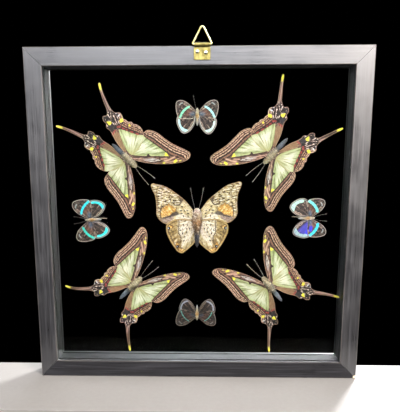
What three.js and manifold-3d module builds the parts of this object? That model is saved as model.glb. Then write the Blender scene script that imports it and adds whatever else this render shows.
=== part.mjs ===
// Nine set butterflies between two panes of glass, in a square mitred wooden frame with a
// hanging ring. Millimetres, +Z up. X = 0 is the middle of the width, Z = 0 the underside of
// the bottom rail, Y = 0 half way through the whole depth, ring included. The wall side, which
// carries the ring, faces -Y. Depths into the frame are counted from the wall side's face.
import * as THREE from 'three';
import { mergeVertices } from 'three/addons/utils/BufferGeometryUtils.js';
import Module from 'manifold-3d';

const wasm = await Module();
wasm.setup();

// ---- Driving dimensions ----
const FRAME_SIDE = 305;      // outer width and height
const FRAME_DEPTH = 26;      // wall side to show side
const RAIL_FACE = 16;        // width of a rail seen from the front
const ARRIS = 0.5;           // small chamfer on every long edge
const LIP = 4;               // wood in front of each pane
const GLASS = 2;             // pane thickness
const GROOVE = 4;            // how deep the glass groove goes into a rail
const FIT = 0.3;             // clearance of the glass in its groove, on every side
const MITRE_GAP = 0.15;      // half the joint line between two rails
const CLEAR = 0.25;          // clearance between a glued specimen, its glue and the glass

const HANGER_X = 3.7;        // the hanger sits a little to the right of the middle
const PLATE_WIDTH = 14.4;
const EYE_WIDTH = 13.0;      // the rolled eye is narrower than the plate, clear of the ring's bends
const PLATE_BOTTOM = 293.4;  // height of the plate's lower edge
const SHEET = 0.5;           // brass sheet
const WIRE = 1.6;            // ring wire diameter
const RING_WIDTH = 17.0;     // between the centre lines, before the corners are rounded
const RING_HEIGHT = 17.6;    // bar centre to where the two sides would meet
const RING_CORNER = 0.95;    // bend radius at the two bottom corners
const RING_APEX = 2.4;       // bend radius at the top
const PIVOT_UP = 0.6;        // the ring's bar above the frame's top
const EYE = WIRE / 2 + CLEAR;             // inner radius of the plate's rolled eye
const PIVOT_OUT = FIT + SHEET + EYE;      // the bar's centre in front of the face
const NAIL_HEAD = 1.6;       // radius
const NAIL_SHANK = 0.7;      // radius
const NAIL_LENGTH = 9;
const NAIL_GAP = 0.15;       // head to plate
const NAIL_HEAD_HEIGHT = 0.9;
const NAILS = [[-0.4, 300.0], [6.8, 299.2]];   // X and Z of the two nails

const STAND_OFF = PIVOT_OUT + WIRE / 2 + SHEET + CLEAR;   // how far the eye stands out
const FACE_Y = -(FRAME_DEPTH - STAND_OFF) / 2;            // the wall side's face
const INNER_GLASS = LIP + FIT + GLASS;                    // depth of the wall pane's inside
const FACETS = 10;            // sides of a small round piece

// ---- Materials ----
const finish = (color, roughness, metalness = 0) =>
  new THREE.MeshStandardMaterial({ color, roughness, metalness });
const BLACK_WOOD = finish('#4a4a4c', 0.5);
const BRASS = finish('#cdbf86', 0.35, 0.9);
const NAIL_STEEL = finish('#e4e2da', 0.3, 0.9);
const CLEAR_GLASS = new THREE.MeshStandardMaterial(
  { color: '#e8f2ee', roughness: 0.05, transparent: true, opacity: 0.15 });
const CLEAR_GLUE = new THREE.MeshStandardMaterial(
  { color: '#f4ecd2', roughness: 0.2, transparent: true, opacity: 0.5 });

// ---- Helpers: closed meshes to solids and back ----
function solid(geometry) {
  const bare = geometry.clone();
  bare.deleteAttribute('normal');
  bare.deleteAttribute('uv');
  const joined = mergeVertices(bare, 1e-4);
  return new wasm.Manifold(new wasm.Mesh({
    numProp: 3,
    vertProperties: new Float32Array(joined.attributes.position.array),
    triVerts: new Uint32Array(joined.index.array),
  }));
}

function geometryOf(body) {
  const mesh = body.getMesh();
  const geometry = new THREE.BufferGeometry();
  geometry.setAttribute('position', new THREE.BufferAttribute(mesh.vertProperties, 3));
  geometry.setIndex(new THREE.BufferAttribute(mesh.triVerts, 1));
  return geometry;
}

const join = (solids) => solids.reduce((all, next) => all.add(next));

function named(name, geometry, material) {
  const mesh = new THREE.Mesh(geometry, material);
  mesh.name = name;
  return mesh;
}

const part = new THREE.Group();

// ---- Rails: one profile, cut at 45 degrees at both ends ----
// Each point is [height over the rail's outer edge, depth].
function railProfile() {
  const grooveFloor = RAIL_FACE - GROOVE;
  const nearGroove = [LIP, LIP + GLASS + 2 * FIT];
  const farGroove = nearGroove.map((depth) => FRAME_DEPTH - depth);
  return [
    [0, ARRIS], [ARRIS, 0], [RAIL_FACE - ARRIS, 0], [RAIL_FACE, ARRIS],
    [RAIL_FACE, nearGroove[0]], [grooveFloor, nearGroove[0]],
    [grooveFloor, nearGroove[1]], [RAIL_FACE, nearGroove[1]],
    [RAIL_FACE, farGroove[1]], [grooveFloor, farGroove[1]],
    [grooveFloor, farGroove[0]], [RAIL_FACE, farGroove[0]],
    [RAIL_FACE, FRAME_DEPTH - ARRIS], [RAIL_FACE - ARRIS, FRAME_DEPTH],
    [ARRIS, FRAME_DEPTH], [0, FRAME_DEPTH - ARRIS],
  ];
}

function railGeometry() {
  const shape = new THREE.Shape(railProfile().map(([up, depth]) => new THREE.Vector2(depth, up)));
  const geometry = new THREE.ExtrudeGeometry(shape, { depth: 1, bevelEnabled: false, steps: 1 });
  const place = geometry.attributes.position;
  for (let i = 0; i < place.count; i += 1) {
    const [depth, up, end] = [place.getX(i), place.getY(i), place.getZ(i)];
    const halfLength = FRAME_SIDE / 2 - up - MITRE_GAP;
    place.setXYZ(i, (end * 2 - 1) * halfLength, FACE_Y + depth, up - FRAME_SIDE / 2);
  }
  return geometryOf(solid(geometry));
}

function nailHoles() {
  return join(NAILS.map(([x, z]) => {
    const hole = new THREE.CylinderGeometry(NAIL_SHANK + FIT, NAIL_SHANK + FIT, 24, FACETS);
    hole.translate(x, FACE_Y, z);
    return solid(hole);
  }));
}

const RAILS = { rail_bottom: 0, rail_right: 90, rail_top: 180, rail_left: 270 };
for (const [name, turn] of Object.entries(RAILS)) {
  const geometry = railGeometry();
  geometry.rotateY(-THREE.MathUtils.degToRad(turn));
  geometry.translate(0, 0, FRAME_SIDE / 2);
  const rail = name === 'rail_top' ? geometryOf(solid(geometry).subtract(nailHoles())) : geometry;
  part.add(named(name, rail, BLACK_WOOD.clone()));
}

// ---- The two panes ----
function pane(name, depth) {
  const side = FRAME_SIDE - 2 * (RAIL_FACE - GROOVE + FIT);
  const mesh = named(name, new THREE.BoxGeometry(side, GLASS, side), CLEAR_GLASS.clone());
  mesh.position.set(0, FACE_Y + depth + GLASS / 2, FRAME_SIDE / 2);
  part.add(mesh);
}
pane('glass_wall_side', LIP + FIT);
pane('glass_show_side', FRAME_DEPTH - LIP - FIT - GLASS);

// ---- Hanger: a brass plate rolled round the ring's bar, two nails, a bent wire ring ----
const PIVOT = new THREE.Vector3(HANGER_X, FACE_Y - PIVOT_OUT, FRAME_SIDE + PIVOT_UP);

// The plate is drawn from the side: a flat strip whose top rolls forward over the bar.
function plateGeometry() {
  const back = -FIT;
  const front = back - SHEET;
  const outer = EYE + SHEET;
  const eye = { y: -PIVOT_OUT, z: PIVOT.z };
  const point = (radius, angle) =>
    new THREE.Vector2(eye.y + radius * Math.cos(angle), eye.z + radius * Math.sin(angle));
  const rollEnd = Math.PI * 1.62;
  const steps = 10;
  const outline = [new THREE.Vector2(back, PLATE_BOTTOM)];
  for (let i = 0; i <= steps; i += 1) outline.push(point(outer, (rollEnd * i) / steps));
  for (let i = steps; i >= 0; i -= 1) outline.push(point(EYE, (rollEnd * i) / steps));
  outline.push(new THREE.Vector2(front, PLATE_BOTTOM));
  const strip = new THREE.ExtrudeGeometry(new THREE.Shape(outline),
    { depth: EYE_WIDTH, bevelEnabled: false, steps: 1 });
  // Shape X is depth, shape Y is height and the extrusion runs along X.
  strip.applyMatrix4(new THREE.Matrix4().set(
    0, 0, 1, HANGER_X - EYE_WIDTH / 2,
    1, 0, 0, FACE_Y,
    0, 1, 0, 0,
    0, 0, 0, 1));
  const flatHeight = eye.z - outer - PLATE_BOTTOM;
  const flat = new THREE.BoxGeometry(PLATE_WIDTH, SHEET, flatHeight);
  flat.translate(HANGER_X, FACE_Y + back - SHEET / 2, PLATE_BOTTOM + flatHeight / 2);
  return geometryOf(solid(strip).add(solid(flat)).subtract(nailHoles()));
}
part.add(named('hanger_plate', plateGeometry(), BRASS.clone()));

function nailGeometry() {
  const under = NAIL_GAP;
  const profile = [[0, -NAIL_LENGTH], [NAIL_SHANK, -NAIL_LENGTH + 1.5], [NAIL_SHANK, under],
    [NAIL_HEAD, under], [NAIL_HEAD, under + NAIL_HEAD_HEIGHT * 0.35],
    [NAIL_HEAD * 0.7, under + NAIL_HEAD_HEIGHT * 0.8], [0, under + NAIL_HEAD_HEIGHT]];
  return new THREE.LatheGeometry(profile.map(([r, y]) => new THREE.Vector2(r, y)), FACETS);
}
NAILS.forEach(([x, z], index) => {
  const mesh = named(`nail_${index + 1}`, geometryOf(solid(nailGeometry())), NAIL_STEEL.clone());
  mesh.rotation.x = Math.PI;
  mesh.position.set(x, FACE_Y - FIT - SHEET, z);
  part.add(mesh);
});

// The ring's centre line in its own plane, from one butt end in the middle of the bar, round
// two bottom corners and the apex, to the other butt end.
function ringPath() {
  const half = RING_WIDTH / 2;
  const corners = [
    { at: [half, 0], radius: RING_CORNER }, { at: [0, RING_HEIGHT], radius: RING_APEX },
    { at: [-half, 0], radius: RING_CORNER }];
  const stations = [new THREE.Vector3(CLEAR, 0, 0), ...corners.map(({ at }) =>
    new THREE.Vector3(at[0], 0, at[1])), new THREE.Vector3(-CLEAR, 0, 0)];
  const path = [stations[0]];
  corners.forEach(({ radius }, index) => {
    const here = stations[index + 1];
    const into = stations[index].clone().sub(here).normalize();
    const out = stations[index + 2].clone().sub(here).normalize();
    const half_angle = into.angleTo(out) / 2;
    const cut = radius / Math.tan(half_angle);
    const start = here.clone().addScaledVector(into, cut);
    const end = here.clone().addScaledVector(out, cut);
    const centre = here.clone().addScaledVector(
      into.clone().add(out).normalize(), radius / Math.sin(half_angle));
    const arcSteps = 7;
    const from = start.clone().sub(centre);
    const sweep = Math.PI - 2 * half_angle;
    for (let i = 0; i <= arcSteps; i += 1) {
      path.push(from.clone().applyAxisAngle(new THREE.Vector3(0, -1, 0),
        (sweep * i) / arcSteps).add(centre));
    }
    if (path.at(-1).distanceTo(end) > 0.01) throw new Error('ring bend does not close');
  });
  path.push(stations.at(-1));
  return path;
}

// A round bar swept along a plane path: one ring of points at each bend, closed by end caps.
function sweptBar(path, radius, sides) {
  const normal = new THREE.Vector3(0, 1, 0);
  const positions = [];
  const index = [];
  path.forEach((point, i) => {
    const before = path[Math.max(i - 1, 0)];
    const after = path[Math.min(i + 1, path.length - 1)];
    const along = after.clone().sub(before).normalize();
    const across = new THREE.Vector3().crossVectors(along, normal).normalize();
    for (let j = 0; j < sides; j += 1) {
      const turn = (2 * Math.PI * j) / sides;
      const offset = across.clone().multiplyScalar(Math.cos(turn) * radius)
        .addScaledVector(normal, Math.sin(turn) * radius);
      positions.push(...point.clone().add(offset).toArray());
      if (i > 0) {
        const [a, b] = [(i - 1) * sides + j, (i - 1) * sides + ((j + 1) % sides)];
        index.push(a, a + sides, b, b, a + sides, b + sides);
      }
    }
  });
  for (let j = 1; j < sides - 1; j += 1) {
    const last = (path.length - 1) * sides;
    index.push(0, j, j + 1, last, last + j + 1, last + j);
  }
  const geometry = new THREE.BufferGeometry();
  geometry.setAttribute('position', new THREE.Float32BufferAttribute(positions, 3));
  geometry.setIndex(index);
  return geometry;
}

const ring = named('hanger_ring', sweptBar(ringPath(), WIRE / 2, 10), BRASS.clone());
ring.position.copy(PIVOT);
part.add(ring);

// ---- Butterflies ----
// A specimen is drawn flat: x to the right, y towards its head, z towards the wall side. A wing
// is a loop of [out, back] points: out along the wing from its hinge, back towards the tail end.
const KITE = {
  thickness: 0.5,
  dihedral: 2,
  fore: {
    hinge: [3.0, 3.0],
    length: 52.4,
    loop: [[0, -1.2], [10, -4.4], [19, -6.2], [29, -7.1], [39, -7.0], [45.5, -6.2], [50, -4.2],
      [52.4, -1.4], [52.2, 1.8], [49.2, 4.2], [44, 7.0], [37, 11.0], [30.5, 16.0],
      [24.5, 21.3], [20.5, 23.5], [15.5, 24.4], [9, 20.0], [2, 11.5], [-2.2, 3.5], [-2.0, 0]],
  },
  hind: {
    hinge: [3.0, -2.5],
    length: 40,
    // From the hinge along the front edge, down the scalloped outer edge to the tail's root,
    // then from the tail's other side over the inner lobes back to the hinge.
    toTail: [[-2.2, 0.5], [-1.5, 8], [3.5, 16.5], [9.5, 21.4], [13.4, 22.2], [17.2, 21.6],
      [20.8, 19.2], [22.6, 16.2], [24.6, 15.6], [26.0, 12.4], [28.2, 11.2], [30.2, 9.2],
      [33, 9.4], [36.2, 8.2], [37.4, 4.6], [40, 2.6]],
    fromTail: [[40.6, -2.8], [38.4, -4.6], [38.8, -8.0], [35, -9.4], [31.6, -7.9],
      [28.6, -9.2], [25.6, -7.4], [22.4, -6.6], [16, -6.1], [9.5, -4.6], [4, -2.8],
      [0, -2.6]],
    tail: { root: [40, -0.1], width: [4.4, 2.5, 2.2] },
  },
  // Body radii from the head to the end of the abdomen: [radius, y].
  body: [[0, 11.2], [1.3, 10.8], [1.9, 9.4], [1.6, 8.0], [2.5, 6.4], [3.1, 3.4], [3.1, -0.6],
    [2.5, -4.2], [1.9, -6.4], [2.1, -9.5], [1.9, -13.5], [1.2, -17.2], [0, -19.0]],
  bodySides: 10,
  depth: 1.25,
  belly: 0.9,
  antenna: { root: [0.8, 10.4], tip: [4.2, 31], radius: 0.22, club: 0.42, clubLength: 2.6 },
  legs: { span: 2.7, reach: 5.2, rows: [4.6, 1.6, -1.4], radius: 0.28 },
};

const LEAF_WING = {
  thickness: 0.5,
  dihedral: 2,
  fore: {
    hinge: [3.0, 8.0],
    length: 49,
    loop: [[1, -3.0], [8.5, -5.4], [16, -6.8], [24, -6.9], [33, -6.5], [40, -5.0], [44.5, -2.8],
      [48.4, -0.9], [49.2, 1.4], [45.6, 4.2], [41, 6.4], [36.8, 10.0], [32.2, 15.2],
      [28.8, 19.8], [25.8, 21.8], [22.4, 22.6], [16, 21.8], [8, 14.4], [-1.5, 4.5], [-2.0, 0]],
  },
  hind: {
    hinge: [3.0, 1.0],
    length: 32,
    toTail: [[-2.4, 1.0], [-0.5, 9], [4.2, 17.5], [11.8, 22.4], [15.4, 21.4], [19.4, 18.8],
      [22.6, 15.2], [25.6, 11.2], [28.6, 6.2], [30.6, 1.6], [30.0, -2.4]],
    fromTail: [[27.0, -4.2], [22.2, -6.4], [17.0, -8.2], [11.0, -8.2], [6, -6.8], [2.4, -3.4]],
  },
  body: [[0, 15.4], [2.2, 14.8], [3.2, 12.8], [2.9, 11.2], [3.9, 8.6], [4.5, 3.6], [4.3, -2.4],
    [3.3, -6.2], [2.5, -8.2], [2.4, -11.5], [1.9, -16.4], [1.1, -19.6], [0, -21.2]],
  bodySides: 10,
  depth: 1.1,
  belly: 0.9,
  antenna: { root: [1.4, 14.6], tip: [6.0, 35], radius: 0.25, club: 0.5, clubLength: 4 },
  legs: { span: 3.6, reach: 7.0, rows: [6.5, 2.2, -1.8], radius: 0.38 },
};

const SMALL = {
  thickness: 0.4,
  dihedral: 2,
  fore: {
    hinge: [1.2, 1.6],
    length: 19.6,
    loop: [[0, -0.8], [5, -2.9], [9.5, -4.1], [14, -4.3], [17.8, -3.0], [19.5, -0.4],
      [18.8, 2.4], [16.6, 6.0], [13.6, 9.2], [11.2, 10.7], [7.8, 10.2], [3, 5.8], [-0.9, 1.4]],
  },
  hind: {
    hinge: [1.2, -1.0],
    length: 17.5,
    toTail: [[-0.9, 0.6], [1.6, 6.2], [5.8, 10.4], [10.4, 10.8], [13.8, 8.8], [16.2, 5.2],
      [17.5, 1.2], [17.0, -1.4]],
    fromTail: [[14.6, -3.0], [9.6, -3.8], [4.6, -3.0], [1.6, -1.4]],
  },
  body: [[0, 5.2], [0.8, 4.9], [1.1, 3.9], [0.9, 3.1], [1.4, 2.2], [1.6, 0.2], [1.4, -2.2],
    [0.95, -3.6], [1.0, -5.6], [0.7, -8.2], [0, -9.6]],
  bodySides: 7,
  depth: 1.2,
  belly: -0.5,
  antenna: { root: [0.4, 4.6], tip: [3.2, 14.5], radius: 0.16, club: 0.34, clubLength: 1.2 },
  legs: { span: 1.2, reach: 2.4, rows: [2.0, 0.4, -1.1], radius: 0.16 },
};

// Each specimen's own setting: where its thorax is, which way its head points (degrees from
// straight up, clockwise), and for the left and right wings the angle from the body line, the
// length and the share of the full breadth. Kite tails end at their own tips, in the specimen's
// x and y, and bow sideways by their sway. Feelers that have broken off are left out.
const SPECIMENS = {
  kite_upper_left: {
    kind: KITE, at: [-65.0, 209.5], heading: 133.7,
    fore: [[46.9, 53.6, 0.97], [46.9, 51.4, 0.92]], hind: [[24.5, 40.5, 0.93], [15, 40.5, 0.84]],
    tails: [[-31.8, -63.2], [23.7, -66.8]], sway: [2.2, -1.6],
  },
  kite_upper_right: {
    kind: KITE, at: [68.3, 213.2], heading: -136.9,
    fore: [[42.1, 48.6, 0.96], [42.2, 52.7, 1]], hind: [[29.2, 38.5, 0.97], [35.4, 40, 0.97]],
    tails: [[-30.3, -59.3], [41.9, -55.9]], sway: [0.6, 0.8],
  },
  kite_lower_left: {
    kind: KITE, at: [-62.3, 88.8], heading: 45.6,
    fore: [[34.7, 52.9, 0.9], [34.6, 50.4, 0.88]], hind: [[38.5, 36.5, 0.97], [35.0, 37, 0.96]],
    tails: [[-45.7, -48.2], [44.8, -50.6]], sway: [3.4, -1.4],
  },
  kite_lower_right: {
    kind: KITE, at: [69.0, 88.6], heading: -38.7,
    fore: [[37.0, 52.3, 0.88], [37.0, 53.5, 0.93]], hind: [[36.0, 36.5, 0.97], [42.5, 37.5, 0.98]],
    tails: [[-41.2, -53.6], [45.2, -50.8]], sway: [-1.2, 1.2],
  },
  leaf_wing_centre: {
    kind: LEAF_WING, at: [-0.9, 147.6], heading: 0,
    fore: [[52.2, 49.6, 1], [49.4, 49.4, 1]], hind: [[26, 32.4, 1], [26, 32.0, 1.03]],
  },
  small_top: {
    kind: SMALL, at: [-0.6, 247.8], heading: 0,
    fore: [[62, 20, 1], [61, 19.8, 1]], hind: [[40, 19.2, 1.04], [34, 18.8, 1]],
    antennae: [-1],
  },
  small_left: {
    kind: SMALL, at: [-99.9, 152.8], heading: -92,
    fore: [[57, 22.2, 1], [48, 21.6, 1]], hind: [[37, 18.6, 1.05], [50, 18.2, 1.05]],
  },
  small_right: {
    kind: SMALL, at: [102.6, 154.6], heading: 88,
    fore: [[51, 19.8, 1], [48, 20.4, 1]], hind: [[36, 19.4, 1.05], [48, 18.8, 1.05]],
  },
  small_bottom: {
    kind: SMALL, at: [-0.8, 60.8], heading: 180,
    fore: [[64, 18.6, 1], [68, 20.8, 1]], hind: [[42, 18.2, 1], [40, 18.2, 1]],
    antennae: [],
  },
};

// A closed smooth outline through the points, with one more between each two of them.
function smoothLoop(points) {
  const curve = new THREE.CatmullRomCurve3(
    points.map(([x, y]) => new THREE.Vector3(x, y, 0)), true, 'centripetal');
  return curve.getPoints(points.length * 2).slice(0, -1).map(({ x, y }) => [x, y]);
}

// From [out, back] along a wing to the specimen's x and y.
function placed(point, wing, [angle, length, breadth], side) {
  const turn = THREE.MathUtils.degToRad(angle);
  const out = point[0] * (length / wing.length);
  const back = point[1] * (length / wing.length) * breadth;
  const x = wing.hinge[0] + out * Math.sin(turn) + back * Math.cos(turn);
  const y = wing.hinge[1] + out * Math.cos(turn) - back * Math.sin(turn);
  return [side * x, y];
}

function plate(outline, thickness, base, dihedral) {
  const shape = new THREE.Shape(outline.map(([x, y]) => new THREE.Vector2(x, y)));
  const geometry = new THREE.ExtrudeGeometry(shape, { depth: thickness, bevelEnabled: false });
  const rise = Math.tan(THREE.MathUtils.degToRad(dihedral));
  const place = geometry.attributes.position;
  for (let i = 0; i < place.count; i += 1) {
    place.setZ(i, place.getZ(i) + base - Math.abs(place.getX(i)) * rise);
  }
  return solid(geometry);
}

// The two edges of a kite's tail, from its root to its tip.
function tailEdges(root, tip, sway, widths) {
  const [start, end] = [new THREE.Vector2(...root), new THREE.Vector2(...tip)];
  const along = end.clone().sub(start);
  const across = new THREE.Vector2(-along.y, along.x).normalize();
  const middle = start.clone().lerp(end, 0.7).addScaledVector(across, sway);
  const spine = new THREE.QuadraticBezierCurve(start, middle, end);
  const steps = 6;
  const edges = [[], []];
  for (let i = 1; i <= steps; i += 1) {
    const t = i / steps;
    const tangent = spine.getTangent(t);
    const half = t < 0.5 ? THREE.MathUtils.lerp(widths[0], widths[1], t * 2) / 2
      : THREE.MathUtils.lerp(widths[1], widths[2], t * 2 - 1) / 2;
    const normal = new THREE.Vector2(-tangent.y, tangent.x).multiplyScalar(half);
    edges[0].push(spine.getPoint(t).add(normal).toArray());
    edges[1].push(spine.getPoint(t).sub(normal).toArray());
  }
  return edges;
}

function wings(kind, setting) {
  const made = [];
  [-1, 1].forEach((side, index) => {
    const fore = smoothLoop(kind.fore.loop)
      .map((point) => placed(point, kind.fore, setting.fore[index], side));
    // A hind wing runs back from its hinge, and its second coordinate outwards.
    const [angle, ...size] = setting.hind[index];
    const place = ([out, outward]) =>
      placed([out, -outward], kind.hind, [180 - angle, ...size], side);
    const { toTail, fromTail, tail } = kind.hind;
    const hind = (tail ? (loop) => loop : smoothLoop)([...toTail, ...fromTail]).map(place);
    made.push({ fore, hind });
    if (tail) {
      const root = place(tail.root);
      const [left, right] = tailEdges(root, setting.tails[index], setting.sway[index], tail.width);
      const overlap = place([tail.root[0] - 4, tail.root[1]]);
      made.at(-1).tail = [overlap, ...left, ...right.reverse()];
    }
  });
  return made;
}

function rod(from, to, radius, sides = 4) {
  const [a, b] = [new THREE.Vector3(...from), new THREE.Vector3(...to)];
  const geometry = new THREE.CylinderGeometry(radius, radius, a.distanceTo(b), sides);
  geometry.applyQuaternion(new THREE.Quaternion().setFromUnitVectors(
    new THREE.Vector3(0, 1, 0), b.clone().sub(a).normalize()));
  geometry.translate(...a.add(b).multiplyScalar(0.5).toArray());
  return solid(geometry);
}

function specimen(setting) {
  const { kind } = setting;
  // Seen from below, the hind wings lie over the fore wings. A small one shows its back.
  const under = kind.belly > 0 ? 1 : -1;
  const solids = [];
  for (const { fore, hind, tail } of wings(kind, setting)) {
    const step = kind.thickness * 0.6 * under;
    solids.push(plate(fore, kind.thickness, -kind.thickness / 2, kind.dihedral));
    solids.push(plate(hind, kind.thickness, -kind.thickness / 2 + step, kind.dihedral));
    if (tail) {
      solids.push(plate(tail, kind.thickness, -kind.thickness / 2 + step, kind.dihedral));
    }
  }
  const profile = kind.body.map(([r, y]) => new THREE.Vector2(r, y)).reverse();
  const body = new THREE.LatheGeometry(profile, kind.bodySides);
  body.scale(1, 1, kind.depth);
  body.translate(0, 0, kind.belly);
  solids.push(solid(body));

  const { antenna, legs } = kind;
  for (const side of [-1, 1]) {
    if ((setting.antennae ?? [-1, 1]).includes(side)) {
      const root = [side * antenna.root[0], antenna.root[1] - 1, kind.belly];
      const tip = [side * antenna.tip[0], antenna.tip[1], kind.belly];
      const clubRoot = root.map((v, i) => THREE.MathUtils.lerp(tip[i], v,
        antenna.clubLength / antenna.tip[1]));
      solids.push(rod(root, tip, antenna.radius), rod(clubRoot, tip, antenna.club));
    }
    for (const y of legs.rows) {
      const low = kind.belly + under * legs.span * kind.depth * 0.62;
      const hip = [side * legs.span * 0.25, y, low];
      const knee = [side * legs.span * 0.95, y - legs.reach * 0.2, low - under * 0.2];
      const foot = [side * legs.span * 0.3, y - legs.reach, low];
      solids.push(rod(hip, knee, legs.radius, 3), rod(knee, foot, legs.radius, 3));
    }
  }
  return join(solids);
}

function glueBead(radius) {
  const height = 0.9;
  const profile = [[0, 0], [radius * 0.85, 0], [radius, height * 0.3], [radius, height * 0.7],
    [radius * 0.85, height], [0, height]];
  const bead = new THREE.LatheGeometry(profile.map(([r, y]) => new THREE.Vector2(r, y)), FACETS);
  return { geometry: geometryOf(solid(bead)), height };
}

const SPECIMEN_COLOUR = new Map([[KITE, '#cfc69a'], [LEAF_WING, '#cdbf9a'], [SMALL, '#4a3f3b']]);
for (const [name, setting] of Object.entries(SPECIMENS)) {
  const { kind } = setting;
  const thorax = Math.max(...kind.body.map(([r]) => r));
  const bulge = kind.belly + thorax * kind.depth;     // how far the body rises to the pane
  const bead = glueBead(thorax * 0.62);
  const depth = INNER_GLASS + CLEAR + bead.height + CLEAR + bulge;
  const mesh = named(name, geometryOf(specimen(setting)), finish(SPECIMEN_COLOUR.get(kind), 0.8));
  mesh.rotation.set(Math.PI / 2, THREE.MathUtils.degToRad(setting.heading), 0, 'YXZ');
  mesh.position.set(setting.at[0], FACE_Y + depth, setting.at[1]);
  part.add(mesh);

  const glue = named(`glue_${name}`, bead.geometry, CLEAR_GLUE.clone());
  glue.position.set(setting.at[0], FACE_Y + INNER_GLASS + CLEAR, setting.at[1]);
  part.add(glue);
}

export default part;
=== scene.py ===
# %% [markdown]
# # Nine set butterflies between two panes of glass
# A black wooden frame holds two panes, and nine dry butterflies are glued between them. The
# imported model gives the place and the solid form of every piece. Here each one gets its finish,
# and the butterflies are made again as thin veined sheets with furry bodies.

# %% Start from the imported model
import math
import random

import bpy
import numpy as np
from mathutils import Matrix, Vector
from mathutils.geometry import delaunay_2d_cdt


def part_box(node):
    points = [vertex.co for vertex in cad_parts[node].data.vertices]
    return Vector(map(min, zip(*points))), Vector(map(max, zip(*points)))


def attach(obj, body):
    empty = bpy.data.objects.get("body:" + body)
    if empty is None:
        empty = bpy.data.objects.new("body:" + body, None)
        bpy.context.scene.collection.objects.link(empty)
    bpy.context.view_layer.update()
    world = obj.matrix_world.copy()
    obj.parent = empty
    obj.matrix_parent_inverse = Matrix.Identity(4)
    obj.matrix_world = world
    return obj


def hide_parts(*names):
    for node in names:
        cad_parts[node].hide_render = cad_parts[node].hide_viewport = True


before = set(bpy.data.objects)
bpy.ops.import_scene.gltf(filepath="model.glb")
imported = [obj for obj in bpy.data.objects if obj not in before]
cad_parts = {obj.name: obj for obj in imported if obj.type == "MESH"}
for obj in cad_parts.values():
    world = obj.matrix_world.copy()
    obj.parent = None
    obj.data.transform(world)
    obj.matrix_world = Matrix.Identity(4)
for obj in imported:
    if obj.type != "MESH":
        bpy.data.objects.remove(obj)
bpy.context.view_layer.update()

MM = 0.001
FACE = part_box("rail_top")[0].y / MM          # the wall side's face, in mm
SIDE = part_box("rail_top")[1].z / MM          # outer height of the frame, in mm
print("frame side", round(SIDE, 1), "mm, wall side at y", round(FACE, 2), "mm")

# %% [markdown]
# ## Colours, nodes and pieces
# A few small helpers serve the whole file. Colours are written as sRGB hex, as a paint chart
# has them, and Blender's shaders want linear light, so one function turns one into the other.
# The next ones add a shader node with its settings and links, start a material, feed its shader
# and set a ramp's colours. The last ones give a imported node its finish, and make a mesh into a
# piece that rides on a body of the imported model.

# %% Helpers for materials and pieces
BLEND = {"data_type": "RGBA"}                                # a Mix node of two colours
DARKEN = {"data_type": "RGBA", "blend_type": "MULTIPLY"}     # of a colour and a grey pattern


def linear(hex_colour):
    """An sRGB hex colour as the linear RGBA that a shader takes."""
    parts = [int(hex_colour[i:i + 2], 16) / 255 for i in (1, 3, 5)]
    return tuple(c / 12.92 if c <= 0.04045 else ((c + 0.055) / 1.055) ** 2.4
                 for c in parts) + (1.0,)


def in_use(value):
    """The output that a node is read from, its first one in use; anything else as it is."""
    if isinstance(value, bpy.types.Node):
        return next(output for output in value.outputs if output.enabled)
    return value


def add(material, kind, sockets=None, **settings):
    """Adds a shader node. A socket is given by name or number: a value, a hex colour, the name
    of a mesh attribute, or a node or output to link."""
    tree = material.node_tree
    made = tree.nodes.new("ShaderNode" + kind)
    for key, value in settings.items():
        setattr(made, key, value)
    for key, value in (sockets or {}).items():
        if isinstance(value, str) and value[0] != "#":
            value = add(material, "Attribute", attribute_name=value).outputs["Fac"]
        value = linear(value) if isinstance(value, str) else in_use(value)
        if isinstance(value, bpy.types.NodeSocket):
            tree.links.new(value, made.inputs[key])
        else:
            made.inputs[key].default_value = value
    return made


def new_finish(name, **sockets):
    """A material with one Principled shader, and that shader."""
    material = bpy.data.materials.new(name)
    material.use_nodes = True
    shader = material.node_tree.nodes["Principled BSDF"]
    for key, value in sockets.items():
        key = key.replace("_", " ")
        shader.inputs[key].default_value = linear(value) if isinstance(value, str) else value
    return material, shader


def feed(material, shader, **sources):
    """Links nodes or sockets into the shader's own sockets."""
    for key, value in sources.items():
        material.node_tree.links.new(in_use(value), shader.inputs[key.replace("_", " ")])


def set_stops(ramp, stops):
    """Gives a colour ramp its stops, each a place from 0 to 1 and a hex colour."""
    band = ramp.color_ramp
    while len(band.elements) < len(stops):
        band.elements.new(0.5)
    for element, (place, colour) in zip(band.elements, stops):
        element.position = place
        element.color = linear(colour)


def refinish(name, finish):
    """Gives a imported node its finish."""
    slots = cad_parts[name].data.materials
    slots.clear()
    slots.append(finish)


def piece(name, points, faces, materials, slot, replaces=(), smooth=True, body="frame"):
    """A mesh piece from points in metres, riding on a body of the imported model."""
    mesh = bpy.data.meshes.new(name)
    mesh.from_pydata([tuple(p) for p in points], [], [tuple(f) for f in faces])
    for material in materials:
        mesh.materials.append(material)
    mesh.polygons.foreach_set("use_smooth", [smooth] * len(mesh.polygons))
    made = bpy.data.objects.new(name, mesh)
    bpy.context.scene.collection.objects.link(made)
    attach(made, body)
    if replaces:
        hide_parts(*replaces)
    return made


# %% [markdown]
# ## Camera
# The camera stands close in front of the wall side and a little above the middle, looking down
# by eleven degrees. Its place was worked out from the frame's four outer and four inner corners.

# %% Camera
EYE = Vector((5.83, FACE - 462.96, 215.56)) * MM
TURN_LEFT, LOOK_DOWN, ROLL = 0.02539, 0.19042, -0.00204      # radians
PICTURE_LONG_SIDE = 412                                       # pixels
FOCAL_PX, SHIFT_PX = 508.98, (8.63, 43.57)

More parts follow.
